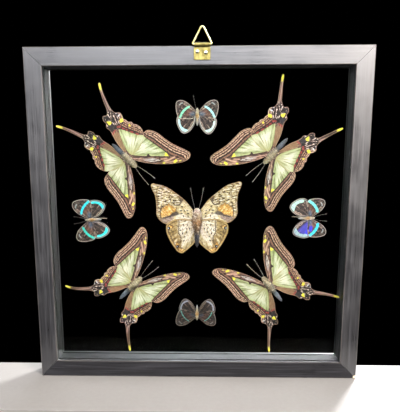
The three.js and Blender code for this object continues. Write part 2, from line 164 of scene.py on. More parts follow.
camera_data = bpy.data.cameras.new("camera")
camera_data.lens = camera_data.sensor_width * FOCAL_PX / PICTURE_LONG_SIDE
camera_data.shift_x, camera_data.shift_y = (s / PICTURE_LONG_SIDE for s in SHIFT_PX)
camera_data.clip_start = 0.01
camera = bpy.data.objects.new("camera", camera_data)
camera.matrix_world = (Matrix.Translation(EYE) @ Matrix.Rotation(TURN_LEFT, 4, "Z")
                       @ Matrix.Rotation(math.pi / 2 - LOOK_DOWN, 4, "X")
                       @ Matrix.Rotation(ROLL, 4, "Z"))
bpy.context.scene.collection.objects.link(camera)
bpy.context.scene.camera = camera
bpy.context.scene.view_settings.view_transform = "Standard"
print("lens", round(camera_data.lens, 2), "mm")

# %% [markdown]
# ## Studio
# The frame stands on a narrow pale board in a dark room, so that the glass between the wings
# stays clear and dark. A wide soft light hangs in front, just high enough that the flat panes
# don't mirror it, so that the satin rails catch it at the top and fade downwards. A smaller one
# at the right does the same for the right rail, and two weak ones fill in from above and from
# the left. Two more, behind and above, light the inside walls and the far side. All hang so high
# that none is seen through the window from any side. Light reaches the butterflies only through
# glass, so the lights are large: a small one would leave grain.

# %% Board, room and lights
MIDDLE = Vector((0, 0, SIDE / 2 * MM))


def soft_light(name, place, size, watts, colour="#ffffff"):
    """A rectangular soft light at a place in metres, turned to face the frame's middle."""
    data = bpy.data.lights.new(name, "AREA")
    data.shape, data.size, data.size_y = "RECTANGLE", size[0], size[1]
    data.energy = watts
    data.color = linear(colour)[:3]
    lamp = bpy.data.objects.new(name, data)
    lamp.location = place
    lamp.visible_camera = False          # it lights and is mirrored, but isn't seen itself
    lamp.rotation_euler = (MIDDLE - Vector(place)).to_track_quat("-Z", "Y").to_euler()
    bpy.context.scene.collection.objects.link(lamp)


soft_light("sheen_panel", (0.15, -1.05, 0.84), (1.5, 0.4), 47, "#f4f7ff")
soft_light("front_panel", (-0.1, -0.75, 1.15), (1.2, 0.7), 6)
soft_light("left_panel", (-1.1, -0.75, 0.85), (0.5, 0.5), 15, "#fff0e2")
soft_light("right_panel", (0.78, -0.95, 0.78), (0.4, 0.46), 46, "#fff0e2")
soft_light("show_side_panel", (0.3, 1.0, 1.05), (1.2, 0.6), 34, "#f4f7ff")
soft_light("back_right_panel", (0.66, 1.0, 0.78), (0.25, 0.4), 70)

world = bpy.data.worlds.new("dark_room")
world.use_nodes = True
world.node_tree.nodes["Background"].inputs["Color"].default_value = linear("#000000")
bpy.context.scene.world = world

board_finish, board_shader = new_finish("matt_white_laminate", Base_Color="#6e6c69",
                                        Roughness=0.6)
board_grain = add(board_finish, "TexNoise", {
    "Vector": add(board_finish, "TexCoord").outputs["Object"], "Scale": 1 / (4 * MM)})
feed(board_finish, board_shader, Roughness=add(
    board_finish, "MapRange", {"Value": board_grain, "To Min": 0.55, "To Max": 0.75}))
BOARD = {"half_width": 0.36, "front": -0.079, "back": 0.02, "top": -0.0002, "under": -0.012}   # m
corners = [(sx * BOARD["half_width"], y, z) for z in (BOARD["top"], BOARD["under"])
           for sx, y in ((-1, BOARD["front"]), (1, BOARD["front"]),
                         (1, BOARD["back"]), (-1, BOARD["back"]))]
board_mesh = bpy.data.meshes.new("board")
board_mesh.from_pydata(corners, [], [(0, 1, 2, 3), (7, 6, 5, 4), (0, 4, 5, 1), (1, 5, 6, 2),
                                     (2, 6, 7, 3), (3, 7, 4, 0)])
board_mesh.materials.append(board_finish)
board = bpy.data.objects.new("board", board_mesh)
bpy.context.scene.collection.objects.link(board)

# %% [markdown]
# ## Rails
# The rails are softwood, stained black and varnished satin. Varnish fills most of the grain but
# not all, so faint lines run along each rail, and the sheen is blotchy where a brush went. Along
# the arrises, where hands rub, the stain is thinner and greyer. The faces are rubbed duller than
# the inner walls, and the bottom rail's most, as it stands on shelves. The grain is stretched
# noise: long along the rail, and as narrow across it as the wood's own rings.

# %% Rails
GRAIN_WIDTH, GRAIN_LENGTH = 0.9, 45          # mm
RUBBED = 0.9                                 # mm, how far the wear reaches from an arris
CHIP = Vector((SIDE / 2 - 1.2, FACE + 0.4, 1.4)) * MM         # bare wood at a lower corner


def stained_wood(name, along, faces=0.6, walls=0.9):
    """Black stained softwood whose grain runs along one axis, 0 for X or 2 for Z, with the
    weight of the varnish on the two faces and on the walls between them."""
    wood, shader = new_finish(name, Coat_Roughness=0.36, Specular_IOR_Level=0.1 + faces)
    place = add(wood, "TexCoord").outputs["Object"]
    stretch = [1 / (GRAIN_WIDTH * MM)] * 3
    stretch[along] = 1 / (GRAIN_LENGTH * MM)
    laid = add(wood, "Mapping", {"Vector": place, "Scale": stretch})
    grain = add(wood, "TexNoise", {"Vector": laid, "Scale": 1.0, "Detail": 6.0,
                                   "Roughness": 0.62})
    cloud = add(wood, "TexNoise", {"Vector": place, "Scale": 1 / (22 * MM), "Detail": 4.0})
    tone = add(wood, "ValToRGB", {"Fac": grain})
    set_stops(tone, [(0.3, "#0e0e0f"), (0.5, "#19191b"), (0.66, "#27272a")])

    # How far a point is from the nearest long arris: over the rail's width, and into its depth.
    xyz = add(wood, "SeparateXYZ", {0: place})
    middle = 0.0 if along == 2 else SIDE / 2 * MM
    offset = add(wood, "Math", {0: xyz.outputs["X" if along == 2 else "Z"], 1: middle},
                 operation="SUBTRACT")
    aside = add(wood, "Math", {0: offset}, operation="ABSOLUTE")
    height = add(wood, "Math", {0: SIDE / 2 * MM, 1: aside}, operation="SUBTRACT")
    over = add(wood, "Math", {0: height, 1: RAIL_FACE / 2 * MM}, operation="PINGPONG")
    depth = add(wood, "Math", {0: xyz.outputs["Y"], 1: FACE * MM}, operation="SUBTRACT")
    into = add(wood, "Math", {0: depth, 1: RAIL_DEPTH / 2 * MM}, operation="PINGPONG")
    arris = add(wood, "Math", {0: over, 1: into}, operation="ADD")
    uneven = add(wood, "MapRange", {"Value": cloud, "From Min": 0.35, "From Max": 0.65,
                                    "To Min": 0.3, "To Max": 1.0})
    rubbed = add(wood, "MapRange", {"Value": arris, "From Min": RUBBED * MM, "From Max": 0.0,
                                    "To Max": uneven})
    colour = add(wood, "Mix", {0: rubbed, 6: tone, 7: "#5f5a55"}, **BLEND)
    gap = add(wood, "VectorMath", {0: place, 1: CHIP}, operation="DISTANCE")
    chipped = add(wood, "MapRange", {"Value": gap, "From Min": 2.0 * MM, "From Max": 1.1 * MM})
    colour = add(wood, "Mix", {0: chipped, 6: colour, 7: "#c9b596"}, **BLEND)

    brushed = add(wood, "Math", {0: cloud, 1: grain}, operation="ADD")
    rough = add(wood, "MapRange", {"Value": brushed, "From Min": 0.75, "From Max": 1.25,
                                   "To Min": 0.27, "To Max": 0.5})
    bump = add(wood, "Bump", {"Height": grain, "Strength": 0.5, "Distance": 0.12 * MM})
    varnish = add(wood, "MapRange", {"Value": into, "From Min": 0.1 * MM, "From Max": 0.8 * MM,
                                     "To Min": faces, "To Max": walls})
    feed(wood, shader, Base_Color=colour, Roughness=rough, Normal=bump, Coat_Weight=varnish)
    return wood


RAIL_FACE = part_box("rail_bottom")[1].z / MM             # mm
RAIL_DEPTH = (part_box("rail_bottom")[1].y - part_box("rail_bottom")[0].y) / MM
wood_across = stained_wood("black_stained_wood_across", 0)
wood_upright = stained_wood("black_stained_wood_upright", 2)
wood_below = stained_wood("black_stained_wood_below", 0, faces=0.05)
for name, wood in (("rail_top", wood_across), ("rail_bottom", wood_below),
                   ("rail_left", wood_upright), ("rail_right", wood_upright)):
    refinish(name, wood)
print("rails", round(RAIL_FACE, 1), "by", round(RAIL_DEPTH, 1), "mm")

# %% [markdown]
# ## Panes
# Picture glass for specimens is thin float glass, coated so that it hardly mirrors. A plain
# transmission with the IOR of glass bends the light as glass does, and a dark specular tint
# stands for the coating. Thin films left by cleaning tint it here and there, hardly to be seen.

# %% Panes
GLASS_IOR = 1.5
glass, glass_shader = new_finish("coated_float_glass", Roughness=0.0,
                                 IOR=GLASS_IOR, Transmission_Weight=1.0,
                                 Specular_Tint="#2c2c2c")
film = add(glass, "TexNoise", {"Vector": add(glass, "TexCoord").outputs["Object"],
                               "Scale": 1 / (40 * MM), "Detail": 5.0})
film_tint = add(glass, "ValToRGB", {"Fac": film})
set_stops(film_tint, [(0.35, "#f7fbf8"), (0.6, "#ffffff")])
feed(glass, glass_shader, Base_Color=film_tint)
for name in ("glass_wall_side", "glass_show_side"):
    refinish(name, glass)

# %% [markdown]
# ## The butterflies' plan
# A setter pins a butterfly flat, with its wings spread, and lets it dry. So each one here is
# drawn flat in its own plane, in millimetres: x to the right, y to the head and z to the wall
# side. A wing is a loop of points [out, back]: out along the wing from its hinge, back towards
# the tail end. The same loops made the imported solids, so the wings fall on them.

# %% The three kinds
KITE = {
    "thickness": 0.5, "belly": 0.9, "depth": 1.25, "spacing": 0.55, "slot": "kite_wing",
    "fore": {"hinge": (3.0, 3.0), "length": 52.4,
             "loop": [(0, -1.2), (10, -4.4), (19, -6.2), (29, -7.1), (39, -7.0), (45.5, -6.2),
                      (50, -4.2), (52.4, -1.4), (52.2, 1.8), (49.2, 4.2), (44, 7.0), (37, 11.0),
                      (30.5, 16.0), (24.5, 21.3), (20.5, 23.5), (15.5, 24.4), (9, 20.0),
                      (2, 11.5), (-2.2, 3.5), (-2.0, 0)]},
    "hind": {"hinge": (3.0, -2.5), "length": 40,
             "to_tail": [(-2.2, 0.5), (-1.5, 8), (3.5, 16.5), (9.5, 21.4), (13.4, 22.2),
                         (17.2, 21.6), (20.8, 19.2), (22.6, 16.2), (24.6, 15.6), (26.0, 12.4),
                         (28.2, 11.2), (30.2, 9.2), (33, 9.4), (36.2, 8.2), (37.4, 4.6),
                         (40, 2.6)],
             "from_tail": [(40.6, -2.8), (38.4, -4.6), (38.8, -8.0), (35, -9.4), (31.6, -7.9),
                           (28.6, -9.2), (25.6, -7.4), (22.4, -6.6), (16, -6.1), (9.5, -4.6),
                           (4, -2.8), (0, -2.6)],
             "tail_root": (40, -0.1), "tail_width": (3.7, 2.1, 2.0)},
    "body": [(0, 11.2), (1.3, 10.8), (1.9, 9.4), (1.6, 8.0), (2.5, 6.4), (3.1, 3.4), (3.1, -0.6),
             (2.5, -4.2), (1.9, -6.4), (2.1, -9.5), (1.9, -13.5), (1.2, -17.2), (0, -19.0)],
    "antenna": {"root": (0.8, 10.4), "tip": (4.2, 31), "radius": 0.2, "club": 0.42,
                "club_length": 2.6},
    "legs": {"span": 2.7, "reach": 5.2, "rows": (4.6, 1.6, -1.4), "radius": 0.24},
}
LEAF_WING = {
    "thickness": 0.5, "belly": 0.9, "depth": 1.1, "spacing": 0.5, "slot": "leaf_wing",
    "fore": {"hinge": (3.0, 8.0), "length": 49,
             "loop": [(1, -3.0), (8.5, -5.4), (16, -6.8), (24, -6.9), (33, -6.5), (40, -5.0),
                      (44.5, -2.8), (48.4, -0.9), (49.2, 1.4), (45.6, 4.2), (41, 6.4),
                      (36.8, 10.0), (32.2, 15.2), (28.8, 19.8), (25.8, 21.8), (22.4, 22.6),
                      (16, 21.8), (8, 14.4), (-1.5, 4.5), (-2.0, 0)]},
    "hind": {"hinge": (3.0, 1.0), "length": 32,
             "to_tail": [(-2.4, 1.0), (-0.5, 9), (4.2, 17.5), (11.8, 22.4), (15.4, 21.4),
                         (19.4, 18.8), (22.6, 15.2), (25.6, 11.2), (28.6, 6.2), (30.6, 1.6),
                         (30.0, -2.4)],
             "from_tail": [(27.0, -4.2), (22.2, -6.4), (17.0, -8.2), (11.0, -8.2), (6, -6.8),
                           (2.4, -3.4)]},
    "body": [(0, 15.4), (2.2, 14.8), (3.2, 12.8), (2.9, 11.2), (3.9, 8.6), (4.5, 3.6),
             (4.3, -2.4), (3.3, -6.2), (2.5, -8.2), (2.4, -11.5), (1.9, -16.4), (1.1, -19.6),
             (0, -21.2)],
    "antenna": {"root": (1.4, 14.6), "tip": (6.0, 35), "radius": 0.23, "club": 0.5,
                "club_length": 4},
    "legs": {"span": 3.6, "reach": 7.0, "rows": (6.5, 2.2, -1.8), "radius": 0.32},
}
SMALL = {
    "thickness": 0.4, "belly": -0.5, "depth": 1.2, "spacing": 0.36, "slot": "small_wing",
    "fore": {"hinge": (1.2, 1.6), "length": 19.6,
             "loop": [(0, -0.8), (5, -2.9), (9.5, -4.1), (14, -4.3), (17.8, -3.0), (19.5, -0.4),
                      (18.8, 2.4), (16.6, 6.0), (13.6, 9.2), (11.2, 10.7), (7.8, 10.2),
                      (3, 5.8), (-0.9, 1.4)]},
    "hind": {"hinge": (1.2, -1.0), "length": 17.5,
             "to_tail": [(-0.9, 0.6), (1.6, 6.2), (5.8, 10.4), (10.4, 10.8), (13.8, 8.8),
                         (16.2, 5.2), (17.5, 1.2), (17.0, -1.4)],
             "from_tail": [(14.6, -3.0), (9.6, -3.8), (4.6, -3.0), (1.6, -1.4)]},
    "body": [(0, 5.2), (0.8, 4.9), (1.1, 3.9), (0.9, 3.1), (1.4, 2.2), (1.6, 0.2), (1.4, -2.2),
             (0.95, -3.6), (1.0, -5.6), (0.7, -8.2), (0, -9.6)],
    "antenna": {"root": (0.4, 4.6), "tip": (3.4, 16.8), "radius": 0.12, "club": 0.28,
                "club_length": 1.4},
    "legs": {"span": 1.2, "reach": 2.4, "rows": (2.0, 0.4, -1.1), "radius": 0.13},
}

# %% [markdown]
# Each specimen was set by hand, so no two have quite the same stance. For the left and the
# right wing the setting gives the angle from the body line, the length, and the share of the
# full breadth. Heading is where the head points, in degrees clockwise from straight up.

# %% The nine specimens
SPECIMENS = {
    "kite_upper_left": {
        "kind": KITE, "at": (-65.0, 209.5), "heading": 133.7,
        "fore": ((46.9, 53.6, 0.97), (46.9, 51.4, 0.92)),
        "hind": ((24.5, 40.5, 0.93), (15, 40.5, 0.84)),
        "tails": ((-31.8, -63.2), (23.7, -66.8)), "sway": (2.2, -1.6)},
    "kite_upper_right": {
        "kind": KITE, "at": (68.3, 213.2), "heading": -136.9,
        "fore": ((42.1, 48.6, 0.96), (42.2, 52.7, 1)),
        "hind": ((29.2, 38.5, 0.97), (35.4, 40, 0.97)),
        "tails": ((-30.3, -59.3), (41.9, -55.9)), "sway": (0.6, 0.8)},
    "kite_lower_left": {
        "kind": KITE, "at": (-62.3, 88.8), "heading": 45.6,
        "fore": ((34.7, 52.9, 0.9), (34.6, 50.4, 0.88)),
        "hind": ((38.5, 36.5, 0.97), (35.0, 37, 0.96)),
        "tails": ((-45.7, -48.2), (44.8, -50.6)), "sway": (3.4, -1.4)},
    "kite_lower_right": {
        "kind": KITE, "at": (69.0, 88.6), "heading": -38.7,
        "fore": ((37.0, 52.3, 0.88), (37.0, 53.5, 0.93)),
        "hind": ((36.0, 36.5, 0.97), (42.5, 37.5, 0.98)),
        "tails": ((-41.2, -53.6), (45.2, -50.8)), "sway": (-1.2, 1.2)},
    "leaf_wing_centre": {
        "kind": LEAF_WING, "at": (-0.9, 147.6), "heading": 0,
        "fore": ((52.2, 49.6, 1), (49.4, 49.4, 1)), "hind": ((26, 32.4, 1), (26, 32.0, 1.03))},
    "small_top": {
        "kind": SMALL, "at": (-0.6, 247.8), "heading": 0, "feelers": (-1,),
        "trailing": {-1: [((-5.0, -3.2), (-13.0, -3.0))]},
        "fore": ((62, 20, 1), (61, 19.8, 1)), "hind": ((40, 19.2, 1.04), (34, 18.8, 1))},
    "small_left": {
        "kind": SMALL, "at": (-99.9, 152.8), "heading": -92,
        "trailing": {1: [((1.2, -8.0), (0.9, -15.0))]},
        "fore": ((57, 22.2, 1), (48, 21.6, 1)), "hind": ((37, 18.6, 1.05), (50, 18.2, 1.05))},
    "small_right": {
        "kind": SMALL, "at": (102.6, 154.6), "heading": 88,
        "trailing": {-1: [((-1.3, -8.0), (-1.8, -15.5))]},
        "fore": ((51, 19.8, 1), (48, 20.4, 1)), "hind": ((36, 19.4, 1.05), (48, 18.8, 1.05))},
    "small_bottom": {
        "kind": SMALL, "at": (-0.8, 60.8), "heading": 180, "feelers": (),
        "fore": ((64, 18.6, 1), (68, 20.8, 1)), "hind": ((42, 18.2, 1), (40, 18.2, 1))},
}
LIP, FIT, PANE, CLEAR, BEAD_HEIGHT = 4, 0.3, 2, 0.25, 0.9    # mm
INNER_GLASS = LIP + FIT + PANE                               # depth of the wall pane's inside


def body_top(kind):
    """How far a body rises from its wing plane towards the wall pane."""
    return kind["belly"] + max(r for r, _ in kind["body"]) * kind["depth"]


def resting_place(setting):
    """Turns a specimen's own millimetres into the frame's metres."""
    turn = math.radians(setting["heading"])
    c, s = math.cos(turn), math.sin(turn)
    depth = INNER_GLASS + 2 * CLEAR + BEAD_HEIGHT + body_top(setting["kind"])
    x, z = setting["at"]
    return Matrix(((c * MM, s * MM, 0, x * MM), (0, 0, -MM, (FACE + depth) * MM),
                   (-s * MM, c * MM, 0, z * MM), (0, 0, 0, 1)))


# %% [markdown]
# ## Outlines and distances
# A smooth closed curve runs through each loop's points. All that is painted on a wing later,
# from stripes to eyespots, is drawn by distance: how far a point of the wing lies inside or
# outside a mark, in millimetres. So a few shapes are enough: a patch, a stroke that may be
# ragged, and a ring, each a function that gives the distance to its edge, less than zero inside.

# %% Curves, patches and strokes
def smooth_loop(points, steps):
    """A centripetal Catmull-Rom curve round closed points, with some steps in each span."""
    p = np.array(points, float)
    curve = []
    for i in range(len(p)):
        p0, p1, p2, p3 = (p[(i + k) % len(p)] for k in (-1, 0, 1, 2))
        d0, d1, d2 = (max(np.linalg.norm(b - a), 1e-6) ** 0.5
                      for a, b in ((p0, p1), (p1, p2), (p2, p3)))
        t1 = ((p1 - p0) / d0 - (p2 - p0) / (d0 + d1) + (p2 - p1) / d1) * d1
        t2 = ((p2 - p1) / d1 - (p3 - p1) / (d1 + d2) + (p3 - p2) / d2) * d1
        for t in np.arange(steps) / steps:
            curve.append(p1 + t1 * t + (-3 * p1 + 3 * p2 - 2 * t1 - t2) * t ** 2
                         + (2 * p1 - 2 * p2 + t1 + t2) * t ** 3)
    return np.array(curve)


def smooth_line(points, step):
    """Points at even steps along a smooth line through some points."""
    p = np.array(points, float)
    closed = np.concatenate([p, p[::-1][1:-1]]) if len(p) > 2 else p
    curve = smooth_loop(closed, 12)[:12 * (len(p) - 1) + 1] if len(p) > 2 else p
    reach = np.concatenate([[0], np.cumsum(np.linalg.norm(np.diff(curve, axis=0), axis=1))])
    at = np.linspace(0, reach[-1], max(int(reach[-1] / step), 1) + 1)
    return np.column_stack([np.interp(at, reach, curve[:, k]) for k in range(curve.shape[1])])


def to_line(places, line, closed=False):
    """Distance from each place to a line through points."""
    ends = np.array(line, float)
    starts = ends if closed else ends[:-1]
    nexts = np.roll(ends, -1, 0) if closed else ends[1:]
    nearest = np.full(len(places), 1e9)
    for a, b in zip(starts, nexts):
        along = b - a
        share = np.clip((places - a) @ along / max(along @ along, 1e-12), 0, 1)
        nearest = np.minimum(nearest, np.linalg.norm(places - a - share[:, None] * along, axis=1))
    return nearest


def within(places, loop):
    """Which places lie inside a closed loop."""
    inside = np.zeros(len(places), bool)
    x, y = places.T
    ends = np.array(loop, float)
    for (ax, ay), (bx, by) in zip(ends, np.roll(ends, -1, 0)):
        crosses = (ay > y) != (by > y)
        inside ^= crosses & (x < (bx - ax) * (y - ay) / (by - ay + 1e-12) + ax)
    return inside


def patch(*points):
    """A filled mark."""
    return lambda at: np.where(within(at, points), -1, 1) * to_line(at, points, closed=True)


def stroke(half_width, *points):
    """A line or, from one point, a round spot."""
    line = points if len(points) > 1 else (points[0], points[0])

    def shape(at):
        return to_line(at, line) - half_width
    shape.line, shape.half_width = line, half_width
    return shape


def ragged(half_width, *points, wave=1.9, sway=0.55):
    """A stroke that zigzags about the points' own smooth line."""
    line = smooth_line(points, wave / 2)
    way = np.gradient(line, axis=0)
    way /= np.linalg.norm(way, axis=1)[:, None]
    side = sway * np.where(np.arange(len(line)) % 2, 1, -1) \
        * (0.6 + 0.4 * np.sin(np.arange(len(line)) * 2.3))
    return stroke(half_width, *(line + np.column_stack([-way[:, 1], way[:, 0]]) * side[:, None]))


def ring(half_width, centre, radius):
    """A line round a circle."""
    return lambda at: abs(np.linalg.norm(at - np.array(centre), axis=1) - radius) - half_width


# %% [markdown]
# ## Kite markings
# On the underside a pale green field fills the middle of both wings. Brown, umber and tan
# stripes run between it and the outer edge and close up towards the wing tip. The front edge is
# brown with lemon spots, and the hind wing has a red line, dark lobes and a long tail.

# %% Marks of the kites
FORE_MARGIN = [(11, 21), (13.5, 17.7), (17.5, 14.4), (22.5, 10.2), (27.5, 6.2), (31.8, 2.6),
               (34.5, 0.5), (38.5, -1.4), (43, -3.0), (49.6, -5.4)]      # where the stripes begin
KITE["fore"]["marks"] = {
    "field": [patch((-3, 4.5), (0, 3.0), (5, 2.0), (10, 1.5), (13.2, 1.3), (14.7, 3.1),
                    (16.6, 1.1), (21, 0.8), (27, 0.3), (33, 0.2), (31.8, 2.6), (27.5, 6.2),
                    (22.5, 10.2), (17.5, 14.4), (13.5, 17.7), (11.2, 20), (6, 21), (0, 20),
                    (-4, 12))],
    "lemon": [patch((29.4, 0.4), (33.2, -0.1), (31.6, 2.4), (30.2, 3.4)),
              stroke(1.1, (38.2, -5.6), (39.5, -4.6)), stroke(0.6, (27.8, -6.2), (29.2, -6.0)),
              stroke(0.35, (42.6, -5.2), (43.8, -4.8))],
    "umber": [patch((12.8, 0.4), (14.7, 3.5), (17.2, 0.3)),
              stroke(0.4, (1, 1.8), (6, 0.8), (13, 0.4), (21, -0.1), (28, -0.6), (33.6, -0.8)),
              stroke(0.35, (24.5, -2.8), (24.7, -0.5))],
    "ash": [patch((9.5, -1.2), (14.2, -1.0), (20, -1.3), (25.6, -3.2), (22, -4.9), (16, -4.4),
                  (11.6, -3.0))],
    "blush": [stroke(0.7, (29.5, -4.2), (34, -3.2), (38.2, -1.2)),
              stroke(0.4, (26, -2.4), (31, -1.9)), stroke(0.35, (1, -0.4), (8, -1.2), (13, -2.0)),
              stroke(0.3, (31, -5.8), (36, -5.2), (44, -4.4))],
    "border": [patch(*FORE_MARGIN, (58, -7), (60, 6), (40, 20), (22, 32), (8, 30))],
}
KITE["fore"]["stripes"] = (FORE_MARGIN, [(50.2, -4), *KITE["fore"]["loop"][7:16]])
KITE["fore"]["veins"] = [
    [(0, 0), (12, -0.3), (24, -0.2), (38, -3.2), (49, -4.4)],
    [(24, -0.2), (40, -0.8), (51.8, 0.4)],
    [(24, -0.2), (23.4, 3.2), (22.2, 6.6), (16, 8.6), (8, 6), (0, 1.5)],
    [(23.6, 2.2), (35, 3.8), (47, 5.3)], [(23, 5), (32, 7.8), (40.4, 9)],
    [(22.2, 6.6), (28, 10.4), (33.8, 13.3)], [(18, 8.2), (23, 13), (27.8, 18.3)],
    [(12, 7.6), (17.4, 15), (22, 22.6)], [(0, 2.4), (8, 12), (15, 24)]]

KITE["hind"]["marks"] = {
    "field": [patch((-2, 3), (1, 1.5), (4, 0.5), (10, 0.2), (17, 0.3), (22.9, 1.0), (22.8, 2.6),
                    (20.4, 5.8), (17.4, 9.6), (14.5, 13.2), (12.1, 16.6), (10.7, 20), (9, 23),
                    (3, 19), (-3, 9))],
    "lemon": [patch((29.4, -5.8), (33.4, -7.0), (31.9, -2.6), (30.2, -3.0)),
              patch((27.9, 5.2), (30.5, 5.4), (30.9, 8.7), (28.0, 8.6)),
              patch((21.6, 11.0), (24.3, 12.6), (22.0, 13.6))],
    "red": [stroke(0.85, (12.7, 16.8), (13.5, 15.5)), stroke(0.8, (16.0, 12.6), (17.0, 11.3)),
            stroke(0.65, (19.6, 8.6), (20.2, 7.8)), stroke(0.7, (21.9, 6.2), (22.7, 5.0)),
            stroke(0.95, (24.9, 3.6), (25.4, 1.2)), stroke(0.85, (21.3, -5.4), (22.7, -3.6)),
            stroke(0.5, (22.7, -3.6), (23.6, -1.8))],
    "amber": [patch((2.0, -0.9), (5, -3.2), (9.5, -4.9), (16, -6.4), (20.6, -6.9), (21.6, -3),
                    (21.2, -0.4), (14, 0), (6, 0.2))],
    "ink": [patch((23.4, -7.2), (25.4, -7.8), (29.2, -7.6), (29.2, -3), (27.6, -1.3),
                  (25, -2.0)), stroke(0.7, (31.6, -1.9), (32.5, 0.5)), stroke(0.85, (26.9, 7.0)),
            stroke(0.3, (35.6, 4.6), (35.9, 8.2)), stroke(0.35, (37.0, -3.8), (37.6, -8.2)),
            stroke(0.25, (34.4, -5), (35.1, -8.6)), stroke(0.35, (31.6, -7.6), (33.6, -4.4)),
            stroke(0.3, (23.6, 3.9), (26.4, 4.6))],
    "ash": [stroke(0.8, (26.7, -4.7))],
    "blush": [stroke(0.3, (34.0, 1.9), (38, 1.5), (43, 1.0)), stroke(0.3, (25.6, 1.6), (31, 0.9)),
              stroke(0.25, (33.2, -8.8), (35.6, -8.6), (37.6, -6.4), (38.4, -4.4)),
              stroke(0.25, (31.6, -3.8), (34.6, -3.4), (37.4, -3.2)),
              stroke(0.25, (31, 4.2), (32.4, 6.8), (35.4, 7.6)),
              stroke(0.3, (28.4, 10.4), (31, 8.4))],
    "rose": [patch((25.4, 0.2), (30, -0.8), (35, -1.2), (41, -1.6), (41, 1.8), (35, 2.4),
                   (30, 2.8), (26.4, 2.8))],
    "pearl": [stroke(0.5, (33.9, 5.6), (34.4, 7.4)), stroke(0.3, (36.7, 4.6), (36.9, 7.0))],
    "lobe": [patch((23.4, 0.6), (25, 4.2), (30, 4.4), (33, 7), (38, 6), (44, 3), (60, 8),
                   (60, -12), (38, -12), (24, -9))],
    "border": [patch((10.3, 25), (10.9, 20.2), (12.3, 16.8), (14.7, 13.4), (17.6, 9.8),
                     (20.6, 6), (23.1, 2.8), (23.3, -0.4), (23, -9), (44, -12), (120, -20),
                     (120, 20), (44, 16), (26, 26))],
}
KITE["hind"]["stripes"] = (
    [(10.3, 23), (10.9, 20.2), (12.3, 16.8), (14.7, 13.4), (17.6, 9.8), (20.6, 6), (23.1, 2.8),
     (23.4, 0.4)],
    KITE["hind"]["to_tail"][4:])
KITE["hind"]["veins"] = [
    [(0, 1), (7, 8), (12, 11.4), (20, 19.4)], [(12, 11.4), (19, 14.6), (23.6, 15.8)],
    [(12, 11.4), (14.6, 8), (16, 4), (10, 2.2), (0, 0.6)], [(14.4, 8.6), (22, 10.6), (29.2, 10)],
    [(15.6, 5.4), (25, 7), (34.5, 8.6)], [(16, 4), (27, 3), (40, 0)],
    [(12, 2.6), (24, -1), (33, -6)],
    [(0, 5), (5, 13), (11, 21.4)], [(0, -0.6), (12, -1.6), (24, -5.6)]]

# %% [markdown]
# ## Leaf-wing markings
# The one in the middle is a dead leaf underneath: cream with fine dark dashes, a honey patch
# and a mauve corner on the fore wing, silver-white next to the body, and olive-tan on the hind
# wing with two small eyespots.

# %% Marks of the leaf-wing
LEAF_WING["fore"]["marks"] = {
    "silver": [patch((-4, 3.6), (1, 2.8), (4, 3.2), (8, 4), (12, 6.2), (13.2, 7.8), (12.6, 9.6),
                     (12, 12), (10, 16), (4, 24), (-5, 14))],
    "honey": [patch((15.8, 5.8), (18.0, 4.4), (21.6, 4.8), (24.8, 6.2), (27.4, 8.4), (28.0, 12),
                    (26.8, 15.6), (24.8, 18.6), (22.6, 19.8), (19.8, 16.6), (17.0, 12.4),
                    (16.2, 9))],
    "mauve": [patch((15.2, 11.4), (17.2, 12.6), (20.2, 17.0), (23.9, 21.4), (23.4, 25),
                    (17, 25), (13, 13))],
    "slate": [patch((11.4, 6.4), (15.4, 6.4), (17.6, 9.0), (18.2, 12.4), (16.2, 12.6),
                    (13.8, 10.4)),
              stroke(0.7, (16.4, 11.6), (18.4, 15.0), (21.0, 18.4))],
    "umber": [stroke(0.6, (17.4, -5.4), (17.2, -2.8), (17.0, 0), (18.6, 1.2)),
              patch((16.4, -7), (23.4, -6.4), (20.4, -4.2), (18.2, -2.2)),
              stroke(0.5, (18.8, 1.0), (20.4, 2.6), (23.0, 1.6)),
              ragged(0.3, (24.8, 3.0), (27.0, 0.4), (27.8, -2.4)),
              ragged(0.34, (22.8, 20.4), (26.2, 17.6), (29.0, 12.6), (30.6, 9.6))],
    "brow": [ragged(0.26, (32.0, 7.6), (35.6, 3.8), (37.4, -1.0), (37.8, -4.6)),
             ragged(0.26, (31.6, 13.6), (36.4, 8.2), (41.0, 3.6), (43.2, -1.6)),
             ragged(0.26, (20.6, -3.6), (22.6, 0.6), (21.2, 3.0))],
    "fleck": [stroke(0.28, (7.6, -0.9), (8.5, -0.3)), stroke(0.26, (9.7, 1.6), (10.8, 0.6)),
              stroke(0.3, (3.7, 3.7), (4.5, 2.9)), stroke(0.24, (7.2, 6.4), (8.2, 5.2)),
              stroke(0.3, (-2, 13.4), (-1, 12.6)), stroke(0.22, (-0.4, 10.2), (0.6, 9.6)),
              stroke(0.3, (23.6, -0.4), (24.2, 0)), stroke(0.3, (26, -2.2), (26.8, -1.6)),
              stroke(0.45, (12.2, 2.8), (13.0, 3.6)), stroke(0.4, (13.6, -0.6), (14.6, -0.4)),
              stroke(0.4, (10.2, 4.6), (11.0, 5.4)), stroke(0.45, (5.4, 1.0), (6.2, 1.4)),
              stroke(0.4, (2.2, 6.8), (3.0, 7.2)), stroke(0.42, (4.6, 9.6), (5.6, 9.2)),
              stroke(0.36, (8.2, 10.2), (9.0, 10.6)), stroke(0.4, (1.2, 10.6), (2.0, 10.8))],
    "dashes": [patch((19, -9), (52, -6), (52, 5), (23, 26), (26.4, 13), (24.4, 5), (19.6, 3.4),
                     (17.8, -1))],
}
